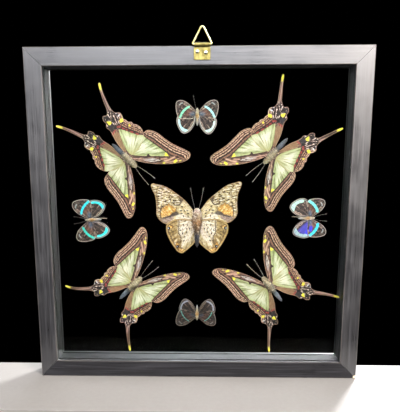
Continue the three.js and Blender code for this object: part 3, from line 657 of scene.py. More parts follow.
LEAF_WING["fore"]["veins"] = [
    [(0, 0), (12, -3), (24, -5.6), (40, -4.4)],
    [(0, 1), (9, 1.4), (17, -1), (30, -3.6), (45, -1.8)],
    [(17, -1), (32, 0), (48, 1.4)], [(17, -1), (18, 3), (16, 6.4), (8, 5.6), (0, 2.4)],
    [(17.6, 1.6), (30, 3.8), (42, 5.8)], [(17, 5), (27, 7.8), (36, 10.4)],
    [(16, 6.4), (24, 11), (31.6, 15.8)], [(12, 6.2), (19, 13.6), (27.6, 20.4)],
    [(0, 3.2), (10, 13), (19, 22)]]
LEAF_WING["hind"]["marks"] = {
    "silver": [patch((-4, -2), (4, -3.4), (12, -3.8), (20, -1.6), (24.6, 0.6), (20, 3.4),
                     (16.2, 6.0), (13.8, 9.0), (10.4, 11.2), (6.6, 12.4), (3.6, 14.6),
                     (0.6, 17.2), (-4, 16))],
    "olive": [patch((23.4, 0.6), (33, -0.4), (33, 6), (20, 24), (6, 26), (-2, 19), (0.6, 16.8),
                    (3.2, 14), (6, 11.6), (9.8, 10.2), (13.4, 8.6), (15.6, 5.6), (19, 3.2))],
    "umber": [ragged(0.4, (0.4, 17.4), (3.4, 14.4), (6.4, 12.2), (10.2, 10.8), (13.6, 9.0),
                     (16.0, 6.0), (20, 3.2)),
              ragged(0.3, (28.6, 1.4), (25.0, 8.2), (20.4, 13.8), (14.0, 20.0), (9.4, 22.0))],
    "honey": [patch((25.8, -5), (32, -3.6), (31.6, 1.2), (29.4, 3.4), (27, 2.2), (26, -1)),
              stroke(0.7, (28.0, 6.2), (28.9, 6.8)), stroke(0.75, (25.2, 10.4), (26.2, 11.2)),
              stroke(0.75, (21.6, 15.0), (23.0, 15.9)), stroke(0.6, (18, 18.6), (19, 19.4)),
              stroke(1.7, (25.1, 4.8)), stroke(2.0, (13.0, 18.4))],
    "ink": [stroke(1.15, (26.1, 4.3)), stroke(1.3, (14.0, 19.1))],
    "pearl": [stroke(0.42, (26.4, 4.7)), stroke(0.55, (14.4, 19.6))],
    "fleck": [stroke(0.28, (6.8, 4.6), (7.6, 4.0)), stroke(0.26, (3.2, 5.2), (4.0, 4.6)),
              stroke(0.26, (-2, 11.8), (-1, 11.2)), stroke(0.24, (8.6, 7.4), (9.4, 6.8)),
              stroke(0.4, (18.2, 1.2), (18.8, 1.6)), stroke(0.4, (4.8, 8.6), (5.6, 8.0)),
              stroke(0.42, (0.8, 8.0), (1.6, 8.4)), stroke(0.4, (9.6, 2.6), (10.4, 2.2)),
              stroke(0.4, (12.4, 5.6), (13.2, 5.2)), stroke(0.42, (1.6, 12.2), (2.4, 11.8)),
              stroke(0.38, (5.4, 1.8), (6.2, 1.4)), stroke(0.4, (10.6, 8.4), (11.4, 8.8)),
              stroke(0.36, (14.6, 2.2), (15.4, 2.6))],
    "dashes": [patch((20, 4), (28, 2), (27, 9), (16, 20), (8, 21), (12, 12))],
}
LEAF_WING["hind"]["veins"] = [
    [(0, 1), (5, 8), (7, 12), (11.8, 22)], [(5, 8), (10, 12.4), (18, 19.8)],
    [(6, 9), (15, 11.4), (23.4, 14.4)], [(4, 5), (14, 7.2), (26, 10.8)],
    [(3, 3), (15, 3.8), (28.8, 6)], [(0, 1), (14, 1.2), (30.4, 1.4)],
    [(0, 0), (12, -2), (28.6, -3.4)], [(0, -1), (9, -4.6), (20, -7)]]

# %% [markdown]
# ## Markings of the small ones
# Above they are brown-black, with one turquoise band on each wing, a white dash near the tip
# and a chequered fringe. Below, the hind wing is pale with two rings side by side inside black
# lines, and the fore wing has a red root.

# %% Marks of the small ones
SMALL["fore"]["marks"] = {
    "band": [stroke(0.9, (7.9, -1.9), (9.3, 0.1), (10.4, 3), (10.9, 6), (10.7, 9.7))],
    "dash": [stroke(0.42, (14.5, -2.1), (15.4, -1.2), (16.1, 0.5))],
    "root": [stroke(1.3, (2.0, 1.6), (3.4, 2.8))],
    "russet": [patch((1.6, 0.8), (6.4, -1.4), (8.6, 0.8), (9.2, 4.4), (7.8, 7.0), (3.6, 4.6))],
    "royal": [stroke(1.1, (5.8, 4.4), (7.4, 6.4))],
    "cream": [patch((13.5, -6), (22, -3), (21, 1), (16.4, 1.4), (13.6, -1.6))],
    "coral": [patch((-1, -2), (6, -3.4), (9.4, -1), (9.8, 4), (5, 6.6), (-1, 2))],
    "line": [stroke(0.5, (17.6, -1.8), (16.4, 1.6), (13.4, 6.4))],
}
SMALL["hind"]["marks"] = {
    "band": [stroke(0.85, (13.8, -2.2), (14.9, 0.8), (14.9, 3.6), (13.7, 6.3), (11.6, 8.3))],
    "fold": [patch((-1, -0.8), (3, -1.6), (8, -2.4), (12.4, -2.2), (13, -5), (5, -5), (0, -3))],
    "haze": [patch((1.6, 1.4), (6, 0.6), (12.6, 0.2), (12.8, 5.4), (9.4, 9.4), (4.4, 8.2))],
    "royal": [stroke(1.9, (5.4, 7.6), (8.4, 7.8))],
    "cream": [patch((-3, -6), (20, -6), (20, 14), (-3, 14))],
    "line": [ring(0.32, (7.4, 1.6), 1.7), ring(0.32, (7.8, 5.4), 1.7), stroke(0.4, (7.4, 1.6)),
             stroke(0.4, (7.8, 5.4)), ring(0.34, (7.6, 3.5), 5.2),
             stroke(0.3, (15.6, -2.4), (16.3, 1.2), (15.2, 5.0), (12.8, 8.6)),
             stroke(0.28, (1, 1.4), (3, 3.4), (4, 8))],
}
SMALL["fore"]["veins"] = [
    [(0, 0), (8, -2.6), (17, -2.8)], [(0, 0.4), (7.6, 0.2), (13, -1), (19, -0.6)],
    [(7.6, 0.2), (8, 2), (7.2, 3.6), (0, 1)], [(8, 1.4), (13, 2), (18, 2.8)],
    [(7.6, 2.8), (12, 4.6), (16, 6.4)], [(7.2, 3.6), (10, 6.6), (13.2, 9)],
    [(4.6, 3), (8, 7), (10.6, 10.2)]]
SMALL["hind"]["veins"] = [
    [(0, 0.6), (4, 4.4), (6.6, 10)], [(4, 4.4), (8, 7.4), (11.6, 9.8)],
    [(3, 2.6), (9, 5), (15, 6.8)], [(2, 1.2), (9, 2.6), (17, 3)],
    [(0, 0.2), (9, 0), (16.8, 0)], [(0, -0.4), (8, -2.2), (14.4, -2.8)]]
print(sum(len(w[p]["veins"]) for w in (KITE, LEAF_WING, SMALL) for p in ("fore", "hind")), "veins")

# %% [markdown]
# ## From an outline to a sheet
# A dry wing is a skin thinner than paper, held stiff by veins. Two things make it read as real
# from close by: the veins stand up as ridges with the skin slack between them, and the edge is
# thin. So the outline is filled with small triangles, with extra points laid along each vein and
# each fine stroke. Lifting those points gives the ridges, and a copy of the sheet a little behind
# it, joined along the rim, gives the thickness.

# %% Cut a sheet
SKIN = 0.16              # mm, the thickness of a wing; real ones are thinner still
VEIN_HEIGHT, VEIN_WIDTH = 0.13, 0.35                 # mm, the ridge over a vein
SLACK, VEIN_REACH = 0.2, 1.6         # mm, how far the skin sinks, and how far from a vein
WAVE, DROOP = 0.12, math.radians(2)  # mm of waviness, and how far a wing hangs from level
FINE_STROKE = 0.6        # mm, a stroke under this half width gets points of its own
NO_MARK = 9.0            # mm, the distance stored where a wing hasn't got a mark


def cut_sheet(outline, veins, step):
    """Fills an outline with triangles that follow its veins. Returns points and triangles."""
    lines = np.concatenate([smooth_line(vein, step) for vein in veins])
    low, high = outline.min(0), outline.max(0)
    rows = np.arange(low[1], high[1], step * 0.866)
    grid = np.array([(x + (i % 2) * step / 2, y) for i, y in enumerate(rows)
                     for x in np.arange(low[0], high[0], step)])
    grid = grid[within(grid, outline)]
    keep_off = np.concatenate([to_line(grid, outline, closed=True)[None],
                               [to_line(grid, smooth_line(v, step * 2)) for v in veins]]).min(0)
    grid = grid[keep_off > step * 0.55]
    lines = lines[within(lines, outline)]
    lines = lines[to_line(lines, outline, closed=True) > step * 0.5]
    places = np.concatenate([outline, lines, grid])
    made = delaunay_2d_cdt([Vector(p) for p in places], [], [list(range(len(outline)))], 1, 1e-5)
    points = np.array([tuple(v) for v in made[0]])
    return points, [tuple(f) for f in made[2]]


def fine_lines(wing):
    """The middle lines of thin strokes, which need mesh points of their own."""
    return [list(shape.line) for marks in wing["marks"].values() for shape in marks
            if getattr(shape, "half_width", FINE_STROKE) < FINE_STROKE
            and len({tuple(at) for at in shape.line}) > 1]


def lay_map(wing, angle, length, breadth, hind):
    """The matrix and offset that take [out, back] on a wing to the specimen's x and y."""
    size = length / wing["length"]
    turn = math.radians(180 - angle if hind else angle)
    way = -1 if hind else 1
    return (size * np.array([[math.sin(turn), way * breadth * math.cos(turn)],
                             [math.cos(turn), -way * breadth * math.sin(turn)]]),
            np.array(wing["hinge"]))


def tail_edges(root, tip, sway, widths, steps=9):
    """Both edges of a kite's tail: a band round a slightly bowed spine."""
    root, tip = np.array(root, float), np.array(tip, float)
    along = tip - root
    across = np.array([-along[1], along[0]]) / np.linalg.norm(along)
    middle = root + along * 0.7 + across * sway
    t = np.linspace(0.1, 1, steps)[:, None]
    spine = (1 - t) ** 2 * root + 2 * t * (1 - t) * middle + t ** 2 * tip
    way = 2 * (1 - t) * (middle - root) + 2 * t * (tip - middle)
    way /= np.linalg.norm(way, axis=1)[:, None]
    half = np.interp(t[:, 0], [0, 0.5, 0.9, 1], [*widths[:2], widths[2], widths[2] * 0.55]) / 2
    normal = np.column_stack([-way[:, 1], way[:, 0]]) * half[:, None]
    return spine + normal, spine - normal


# %% [markdown]
# ## Wings
# Each wing is cut in its own plane, where the marks are drawn, and then turned into place at its
# hinge. All four of a butterfly are one piece, with the side that faces the wall in one finish
# and the other side in another. Every distance is kept as a mesh attribute, one value a point.
# The materials read them, so a stripe's edge stays sharp however close one looks.

# %% One wing: its outline, its height and its two skins
NO_TIP = np.array([99.0, 0.0])       # mm, further out than any wing, where there is no tail


def mark_names(kind):
    """Every mark on either wing of a kind."""
    return sorted({name for wing in (kind["fore"], kind["hind"]) for name in wing["marks"]})


def wing_outline(wing, setting, index, flip, matrix, hinge):
    """A wing's smooth outline in its own plane, and the tip of its tail."""
    if "tail_root" not in wing:
        loop = wing["loop"] if "loop" in wing else wing["to_tail"] + wing["from_tail"]
        return smooth_loop(loop, 6), NO_TIP
    root = (matrix @ wing["tail_root"] + hinge) * flip
    edges = tail_edges(root, setting["tails"][index], setting["sway"][index],
                       wing["tail_width"])
    edges = [(np.linalg.inv(matrix) @ (e * flip - hinge).T).T for e in edges]
    edges.sort(key=lambda e: -e[:, 1].mean())
    outline = smooth_loop(np.concatenate([wing["to_tail"], edges[0], edges[1][::-1],
                                          wing["from_tail"]]), 4)
    return outline, (edges[0][-1] + edges[1][-1]) / 2


def wing_level(kind, local, flat, vein, edge, side, hind):
    """The height of a wing's points. All relief runs out towards the thin edge."""
    relief = (VEIN_HEIGHT * np.exp(-(vein / VEIN_WIDTH) ** 2) * np.clip(edge / 1.5, 0.2, 1)
              - SLACK * (1 - np.exp(-(vein / VEIN_REACH) ** 2)) * np.clip(edge / 4, 0, 1))
    wave = WAVE * np.sin(local[:, 0] / 4.6 + side) * np.sin(local[:, 1] / 5.3 + hind)
    below = 1 if kind["belly"] > 0 else -1       # seen from below, a hind wing lies on top
    step = kind["thickness"] * 0.6 * below * (1.15 if hind else -0.15)
    return step + relief * 0.8 + wave * np.clip(edge / 3, 0, 1) \
        - abs(flat[:, 0]) * math.tan(DROOP)


def two_skins(triangles, flat, start):
    """The wall side, the other side and the rim of a sheet whose points begin at start: their
    faces, which finish each has, and the rim's sharp edges."""
    count = len(flat)
    a, b, c = (flat[[t[k] for t in triangles]] for k in range(3))
    area = np.cross(b - a, c - a)
    wall = [t if s > 0 else t[::-1] for t, s in zip(triangles, area)]
    ways = {(t[k], t[(k + 1) % 3]) for t in wall for k in range(3)}
    rim = [(i, j) for i, j in ways if (j, i) not in ways]
    faces = [tuple(i + start for i in t) for t in wall]
    faces += [tuple(i + start + count for i in t[::-1]) for t in wall]
    faces += [(j + start, i + start, i + start + count, j + start + count) for i, j in rim]
    sides = [0] * len(wall) + [1] * len(wall) + [0] * len(rim)
    return faces, sides, {tuple(sorted((i + start + k, j + start + k)))
                          for i, j in rim for k in (0, count)}


def store(mesh, key, values):
    """Keeps a number or a vector at each point of a mesh, for its material to read."""
    kind, field = ("FLOAT_VECTOR", "vector") if values.ndim > 1 else ("FLOAT", "value")
    mesh.attributes.new(key, kind, "POINT").data.foreach_set(
        field, values.astype(np.float32).ravel())


# %% All four wings of a butterfly
def build_wings(name, setting, finishes):
    """One piece of four wings, whose wall side has the first finish."""
    kind = setting["kind"]
    points, faces, sides, sharp = [], [], [], set()
    values, start = {}, 0
    for side, index, part in ((-1, 0, "fore"), (-1, 0, "hind"), (1, 1, "fore"), (1, 1, "hind")):
        wing, hind, flip = kind[part], part == "hind", np.array([side, 1])
        matrix, hinge = lay_map(wing, *setting[part][index], hind)
        outline, tip = wing_outline(wing, setting, index, flip, matrix, hinge)
        local, triangles = cut_sheet(outline, wing["veins"] + fine_lines(wing), kind["spacing"])
        flat = (local @ matrix.T + hinge) * flip
        count = len(local)
        here = {"edge": to_line(local, outline, closed=True),
                "vein": np.min([to_line(local, smooth_line(v, 1.0)) for v in wing["veins"]], 0),
                "margin": np.zeros(count), "hind": np.full(count, float(hind)),
                "tip": np.linalg.norm(local - tip, axis=1),
                "wing": np.column_stack([local, np.zeros(count)]),
                "spot": np.column_stack([flat, np.zeros(count)])}
        if "stripes" in wing:
            inner, outer = (to_line(local, smooth_line(s, 1.0)) for s in wing["stripes"])
            here["margin"] = inner / (inner + outer + 1e-6)
        for mark in mark_names(kind):
            drawn = [shape(local) for shape in wing["marks"].get(mark, [])]
            here[mark] = np.min(drawn, axis=0) if drawn else np.full(count, NO_MARK)
        for key, given in here.items():
            values.setdefault(key, []).extend((given, given))        # both skins

        level = wing_level(kind, local, flat, here["vein"], here["edge"], side, hind)
        points += [np.column_stack([flat, level + SKIN / 2]),
                   np.column_stack([flat, level - SKIN / 2])]
        made_faces, made_sides, made_sharp = two_skins(triangles, flat, start)
        faces += made_faces
        sides += made_sides
        sharp |= made_sharp
        start += 2 * count
    place = resting_place(setting)
    made = piece(f"wings_{name}", [place @ Vector(p) for p in np.concatenate(points)], faces,
                 finishes, kind["slot"], replaces=(name,))
    mesh = made.data
    mesh.polygons.foreach_set("material_index", sides)
    for key, parts in values.items():
        store(mesh, key, np.concatenate(parts))
    ends = np.empty(len(mesh.edges) * 2, int)
    mesh.edges.foreach_get("vertices", ends)
    creases = [tuple(sorted(pair)) in sharp for pair in ends.reshape(-1, 2).tolist()]
    mesh.attributes.new("sharp_edge", "BOOLEAN", "EDGE").data.foreach_set("value", creases)
    return made


# %% [markdown]
# ## Round things
# Bodies, legs, feelers and hairs are all tubes of changing radius along a line. One function
# makes such a tube: it sets a ring of points square to the line at each step and caps the ends.
# Each part also carries a shade, a number that the material turns into a colour of its own.

# %% Tubes
def tube(path, radii, sides=8, shade=0.0, flatten=1.0):
    """A closed tube of a radius at each point of a path; flatten scales it along local z."""
    path = np.array(path, float)
    way = np.gradient(path, axis=0)
    way /= np.linalg.norm(way, axis=1)[:, None] + 1e-9
    helper = np.array([0, 0, 1.0]) if abs(way[0, 2]) < 0.8 else np.array([1.0, 0, 0])
    across = [np.cross(way[0], helper)]
    for ahead in way[1:]:                # the ring is carried on without a twist
        across.append(across[-1] - ahead * (across[-1] @ ahead))
    across = np.array(across)
    across /= np.linalg.norm(across, axis=1)[:, None] + 1e-9
    up = np.cross(across, way)
    turns = 2 * math.pi * np.arange(sides) / sides
    rings = (path[:, None] + np.array(radii)[:, None, None]
             * (across[:, None] * np.cos(turns)[None, :, None]
                + up[:, None] * np.sin(turns)[None, :, None] * flatten))
    last = (len(path) - 1) * sides
    faces = [(i * sides + j, i * sides + (j + 1) % sides, (i + 1) * sides + (j + 1) % sides,
              (i + 1) * sides + j) for i in range(len(path) - 1) for j in range(sides)]
    faces += [tuple(range(sides))[::-1], tuple(last + j for j in range(sides))]
    points = rings.reshape(-1, 3)
    return points, faces, np.full(len(points), shade)


def joined(parts):
    """Several (points, faces, shades) as one."""
    starts = np.cumsum([0] + [len(p[0]) for p in parts])
    faces = [tuple(i + s for i in f) for p, s in zip(parts, starts) for f in p[1]]
    return np.concatenate([p[0] for p in parts]), faces, np.concatenate([p[2] for p in parts])


def set_down(name, setting, parts, finish, replaces=()):
    """Puts tubes in a specimen's millimetres into the frame as one piece."""
    points, faces, shades = joined(parts)
    here = resting_place(setting)
    made = piece(name, [here @ Vector(p) for p in points], faces, [finish],
                 setting["kind"]["slot"], replaces)
    store(made.data, "shade", shades)
    store(made.data, "spot", points)
    return made


# %% [markdown]
# ## Bodies
# A butterfly's body has a head with two large eyes, a thorax full of flight muscle and an
# abdomen of rings. The skin is hard, and the softness is all hair. So the body is a lofted form
# with creases between its rings, and the hair is real mesh: thin blades that lie back towards
# the tail. That holds up from every side, which hair painted on the skin would not.

# %% Bodies, fur, legs and feelers
def body_radius(kind, y):
    """Half width of a body at some place along it."""
    profile = sorted((y, r) for r, y in kind["body"])
    return np.interp(y, [p[0] for p in profile], [p[1] for p in profile])


STATIONS = 90                        # along a body
ABDOMEN_RINGS, CREASE, SWELL = 8, 0.09, 0.03     # and shares of the radius


def build_body(name, setting, finish):
    """A lofted body with creases between the abdomen's rings, and two eyes."""
    kind = setting["kind"]
    top, end = kind["body"][0][1], kind["body"][-1][1]
    waist = kind["body"][7 if kind is SMALL else 8][1]       # where the rings begin
    y = np.linspace(top, end, STATIONS)
    radius = body_radius(kind, y)
    radius = np.convolve(np.pad(radius, 3, mode="edge"), np.ones(7) / 7, "valid")
    radius[[0, -1]] = 0.02
    tail_part = y < waist
    phase = (waist - y) / (waist - end) * ABDOMEN_RINGS % 1
    radius = np.where(tail_part, radius * (1 - CREASE * np.exp(-((phase - 0.04) / 0.07) ** 2)
                                           + SWELL * phase), radius)
    path = np.column_stack([np.zeros(STATIONS), y, np.full(STATIONS, kind["belly"])])
    parts = [tube(path, radius, 28, 0.0, kind["depth"])]
    wide, head = kind["body"][2]
    eye = wide * 0.5
    lift = np.linspace(-1, 1, 13)
    for side in (-1, 1):
        centre = np.array([side * wide * 0.78, head + eye * 0.2, kind["belly"] + eye * 0.15])
        ball = centre + lift[:, None] * [0, eye, 0]
        parts.append(tube(ball, np.sqrt(np.clip(1 - lift ** 2, 0.0004, 1)) * eye * 0.95, 14, 1.0))
    return set_down(f"body_{name}", setting, parts, finish)


def build_fur(name, setting, finish, count):
    """Hairs on the thorax and the head, and short ones down the abdomen."""
    kind = setting["kind"]
    rng = random.Random(name)
    top, end = kind["body"][0][1], kind["body"][-1][1]
    size = max(r for r, _ in kind["body"])
    highest = kind["belly"] + size * kind["depth"] * 1.12
    parts = []
    for _ in range(count):
        y = top - (top - end) * rng.random() ** 1.6
        turn = rng.uniform(0, 2 * math.pi)
        r = float(body_radius(kind, y))
        out = np.array([math.cos(turn), 0, math.sin(turn) * kind["depth"]])
        root = np.array([0, y, kind["belly"]]) + out * r * 0.96
        on_thorax = y > kind["body"][7][1]
        length = size * (rng.uniform(0.35, 0.75) if on_thorax else rng.uniform(0.08, 0.2))
        lean = np.array([rng.uniform(-0.5, 0.5), -rng.uniform(0.5, 1.3), rng.uniform(-0.3, 0.3)])
        away = out / np.linalg.norm(out)
        middle = root + (away * 0.75 + lean * 0.35) * length * 0.5
        tip = middle + (away * 0.25 + lean * 0.8) * length * 0.5
        for p in (middle, tip):
            p[2] = min(p[2], highest)
        width = size * rng.uniform(0.022, 0.045)
        parts.append(tube([root, middle, tip], [width, width * 0.8, width * 0.08], 3,
                          rng.random()))
    return set_down(f"fur_{name}", setting, parts, finish)


def bent(corners):
    """A jointed limb's line, a little rounded at its joints."""
    p = np.array(corners, float)
    path = [p[0]]
    for before, joint, after in zip(p, p[1:], p[2:]):
        path += [joint + (before - joint) * 0.12, joint, joint + (after - joint) * 0.12]
    path.append(p[-1])
    return np.array(path)


FEELER_STEPS, FEELER_JOINT = 60, 0.12            # and how much each second joint swells
TRAILING_LEG = (0.19, 0.12)                      # mm, its radius at the hip and at the foot


def build_limbs(name, setting, finish):
    """Six folded legs, two feelers, two palps and the coiled tongue."""
    kind = setting["kind"]
    belly, body, feeler = kind["belly"], kind["body"], kind["antenna"]
    under = 1 if belly > 0 else -1
    span, reach, thin = (kind["legs"][key] for key in ("span", "reach", "radius"))
    low = belly + under * span * kind["depth"] * 0.66
    parts = []
    for side in (-1, 1):
        for row, y in enumerate(kind["legs"]["rows"]):
            path = bent([(side * span * 0.22, y, low - under * 0.3),
                         (side * span * 0.95, y - reach * 0.16, low),
                         (side * span * 0.42, y - reach * 0.62, low + under * 0.1),
                         (side * span * 0.3, y - reach, low - under * 0.05)])
            parts.append(tube(path, np.linspace(thin, thin * 0.4, len(path)), 7, 0.3 + 0.1 * row))
        if side in setting.get("feelers", (-1, 1)):
            root = np.array([side * feeler["root"][0], feeler["root"][1] - 0.6, belly])
            tip = np.array([side * feeler["tip"][0], feeler["tip"][1], belly])
            t = np.linspace(0, 1, FEELER_STEPS)[:, None]
            path = root + (tip - root) * t + np.array([side * 0.5, 0, 0]) * np.sin(math.pi * t)
            club = 1 - feeler["club_length"] / np.linalg.norm(tip - root)
            swell = np.clip((t[:, 0] - club) / (1 - club), 0, 1)
            rings = 1 + FEELER_JOINT * (np.arange(FEELER_STEPS) % 2)
            radii = feeler["radius"] * 0.6 * rings + 0.8 * (feeler["club"] - feeler["radius"]) \
                * np.sin(np.clip(swell * 1.25, 0, 1) * math.pi / 2)
            radii[-3:] *= (0.85, 0.6, 0.25)
            parts.append(tube(path, radii, 8, 0.8))
        for knee, foot in setting.get("trailing", {}).get(side, ()):
            level = belly - under * 0.2
            path = smooth_line([(side * 0.6, -0.8, level + under * 0.6), (*knee, level),
                                (*foot, level)], 0.5)
            parts.append(tube(path, np.linspace(*TRAILING_LEG, len(path)), 7, 0.6))
        wide, brow = body[1]
        palp = [(side * wide * 0.35, brow - 0.6, belly + under * 0.4),
                (side * wide * 0.42, brow + 0.5, belly + under * 0.9),
                (side * wide * 0.3, brow + 1.3, belly + under * 0.8)]
        parts.append(tube(palp, np.array([0.34, 0.3, 0.08]) * max(wide, 0.6), 7, 0.55))
    turn = np.linspace(0.3, 5.2 * math.pi, 60)
    out = 0.05 * max(wide, 0.6) * turn / math.pi + 0.12
    coil = np.column_stack([0 * turn, body[0][1] + 0.1 + out * np.cos(turn),
                            belly + under * 0.7 + out * np.sin(turn)])
    parts.append(tube(coil, np.full(60, 0.035 * max(wide, 0.8)), 6, 0.2))
    return set_down(f"limbs_{name}", setting, parts, finish)


# %% [markdown]
# ## Hanger
# A strip of brass sheet, stamped out and rolled round the ring's bar, is nailed to the top rail.
# The strip is one lofted band: a flat section carried up the plate and round the roll, with its
# thin edges broken a little, as a stamping's are. The ring is drawn wire, bent into a triangle
# whose ends meet in the middle of the bar. Both have the soft shine of tumbled brass.

# %% Brass and nickel
def brushed_metal(name, colour, dark, grit, roughness):
    """Metal with fine brush lines in Z, drawn at twice a real grit so that they show."""
    metal, shader = new_finish(name, Metallic=1.0)
    place = add(metal, "TexCoord").outputs["Object"]
    laid = add(metal, "Mapping", {"Vector": place, "Scale": (
        1 / (grit * MM), 1 / (grit * MM), 1 / (12 * grit * MM))})
    lines = add(metal, "TexNoise", {"Vector": laid, "Scale": 1.0, "Detail": 3.0})
    dull = add(metal, "TexNoise", {"Vector": place, "Scale": 1 / (3.5 * MM), "Detail": 4.0})
    ramp = add(metal, "ValToRGB", {"Fac": dull})
    set_stops(ramp, [(0.35, dark), (0.6, colour)])
    rough = add(metal, "MapRange", {"Value": lines, "To Min": roughness * 0.7,
                                    "To Max": roughness * 1.4})
    bump = add(metal, "Bump", {"Height": lines, "Strength": 0.4, "Distance": 0.02 * MM})
    feed(metal, shader, Base_Color=ramp, Roughness=rough, Normal=bump)
    return metal


brass_sheet = brushed_metal("tumbled_brass_sheet", "#877f4e", "#5c552f", 0.5, 0.6)
brass_wire = brushed_metal("drawn_brass_wire", "#bfb681", "#8f8450", 0.4, 0.36)
nickel = brushed_metal("nickelled_nail", "#f2f0ea", "#cfccc4", 0.4, 0.28)

# %% Ring, plate and nails
HANGER_X, SHEET, WIRE = 3.7, 0.5, 1.6                        # mm
RING_WIDTH, RING_HEIGHT, RING_CORNER, RING_APEX = 17.0, 16.1, 0.95, 1.5
PLATE_WIDTH, EYE_WIDTH, PLATE_BOTTOM = 14.4, 13.0, 293.4
WOOD_GAP, SLIP = 0.3, 0.25                                   # plate to wood, bar to plate
EYE_RADIUS = WIRE / 2 + SLIP
PIVOT = np.array([HANGER_X, FACE - WOOD_GAP - SHEET - EYE_RADIUS,
                  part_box("hanger_ring")[0].z / MM + WIRE / 2])


def ring_line(arc_steps=14):
    """The ring's centre line in its own plane: a triangle with a bend at each corner."""
    half = RING_WIDTH / 2
    corners = [((half, 0), RING_CORNER), ((0, RING_HEIGHT), RING_APEX), ((-half, 0), RING_CORNER)]
    stations = np.array([(SLIP, 0), *(at for at, _ in corners), (-SLIP, 0)], float)
    path = [np.array([x, 0]) for x in np.linspace(SLIP, half * 0.8, 5)]
    for k, (_, radius) in enumerate(corners):
        here = stations[k + 1]
        into, out = (way / np.linalg.norm(way)
                     for way in (stations[k] - here, stations[k + 2] - here))
        half_turn = math.acos(float(into @ out)) / 2
        centre = here + (into + out) / np.linalg.norm(into + out) * radius / math.sin(half_turn)
        start = here + into * radius / math.tan(half_turn) - centre
        for turn in np.linspace(0, math.pi - 2 * half_turn, arc_steps):
            c, s = math.cos(turn), math.sin(turn)
            path.append(centre + np.array([c * start[0] - s * start[1],
                                           s * start[0] + c * start[1]]))
    path += [np.array([-x, 0]) for x in np.linspace(half * 0.8, SLIP, 5)]
    return np.array([[x, 0, z] for x, z in path]) + PIVOT


points, faces, _ = tube(ring_line(), np.full(len(ring_line()), WIRE / 2), 24)
piece("hanging_ring", points * MM, faces, [brass_wire], "brass", ("hanger_ring",), body="ring")

ROLL, EDGE_BREAK, CLEARANCE = 1.62 * math.pi, 0.12, 0.01     # rolled angle; mm; mm
CORNER_UP = np.array([0, 0.15, 0.5, 1.2])                    # mm up a rounded lower corner
CORNER_IN = (0.6, 0.25, 0.06, 0, 0, 0)                       # mm in from the side, a station each
SHOULDER = 0.4                                               # mm, where the strip narrows
bar = PIVOT[1:]
outer_radius = EYE_RADIUS + SHEET / 2 - CLEARANCE
rolls = [(bar[0] + outer_radius * math.cos(a), bar[1] + outer_radius * math.sin(a), a)
         for a in np.linspace(0, ROLL, 40)]
flat = [(bar[0] + outer_radius, z, 0.0) for z in
        np.concatenate([PLATE_BOTTOM + CORNER_UP, [bar[1] - EYE_RADIUS - SHEET - SHOULDER,
                                                   bar[1] - EYE_RADIUS - SHEET]])]
points = []
for index, (y, z, turn) in enumerate(flat + rolls):
    half = (EYE_WIDTH if index > 4 else PLATE_WIDTH) / 2 - CORNER_IN[min(index, 5)]
    thick, inner = SHEET / 2, half - EDGE_BREAK
    for across, deep in ((half, 0.5), (inner, 1), (-inner, 1), (-half, 0.5),
                         (-half, -0.5), (-inner, -1), (inner, -1), (half, -0.5)):
        points.append((HANGER_X + across, y + deep * thick * math.cos(turn),
                       z + deep * thick * math.sin(turn)))
count = len(flat) + len(rolls)
faces = [(8 * i + j, 8 * i + (j + 1) % 8, 8 * i + 8 + (j + 1) % 8, 8 * i + 8 + j)
         for i in range(count - 1) for j in range(8)]
faces += [tuple(range(8))[::-1], tuple(8 * (count - 1) + j for j in range(8))]
piece("rolled_plate", np.array(points) * MM, faces, [brass_sheet], "brass", ("hanger_plate",),
      smooth=False)

NAIL_RISE, NAIL_RIM, NAIL_BREAK = 0.9, 0.18, 0.06            # mm, of the head
SHANK, POINT = 0.7, 1.5                                      # mm, its radius and the point's length
for number in (1, 2):
    low, high = (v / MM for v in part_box(f"nail_{number}"))
    middle = (low + high) / 2
    head, under = (high.x - low.x) / 2, low.y + NAIL_RISE
    dome = np.linspace(0, math.pi / 2, 8)[1:]
    depth = np.concatenate([[high.y, high.y - POINT, under, under, under - NAIL_RIM],
                            low.y + (NAIL_RISE - NAIL_RIM) * (1 - np.sin(dome))])
    radii = np.concatenate([[0.05, SHANK, SHANK, head - NAIL_BREAK, head],
                            head * np.cos(dome) + 0.001])
    path = np.array([(middle.x, y, middle.z) for y in depth])
    path[3, 1] -= 0.001
    points, faces, _ = tube(path, radii, 28)
    piece(f"domed_nail_{number}", points * MM, faces, [nickel], "nail", (f"nail_{number}",))
print("hanger made: ring", RING_WIDTH, "by", RING_HEIGHT, "mm")

# %% [markdown]
# ## Glue
# A bead of clear glue holds each butterfly by its thorax to the pane. It wets the glass, so
# light goes from one to the other nearly unbent, and a low IOR stands for that contact. From
# the side it is a low dome with a waist, drawn out while the glue set.

# %% Glue beads
clear_glue, glue_shader = new_finish("clear_set_glue", Base_Color="#fffdf4", Roughness=0.02,
                                     IOR=1.08, Transmission_Weight=1.0, Specular_IOR_Level=0.2)
bubbles = add(clear_glue, "TexNoise", {"Vector": add(clear_glue, "TexCoord").outputs["Object"],
                                       "Scale": 1 / (1.2 * MM)})
feed(clear_glue, glue_shader, Normal=add(
    clear_glue, "Bump", {"Height": bubbles, "Strength": 0.1, "Distance": 0.1 * MM}))
for name, setting in SPECIMENS.items():
    low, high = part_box(f"glue_{name}")
    middle, radius = (low + high) / 2, (high.x - low.x) / 2
    share = np.linspace(0, 1, 14)
    waist = 1 - 0.16 * np.sin(math.pi * share) - 0.12 * (2 * share - 1) ** 8
    waist[[0, -1]] *= 0.75
    path = [(middle.x, low.y + (high.y - low.y) * t, middle.z) for t in share]
    points, faces, _ = tube(path, radius * waist, 28)
    piece(f"glue_bead_{name}", points, faces, [clear_glue], "glue", (f"glue_{name}",))
print(len(SPECIMENS), "beads of glue")

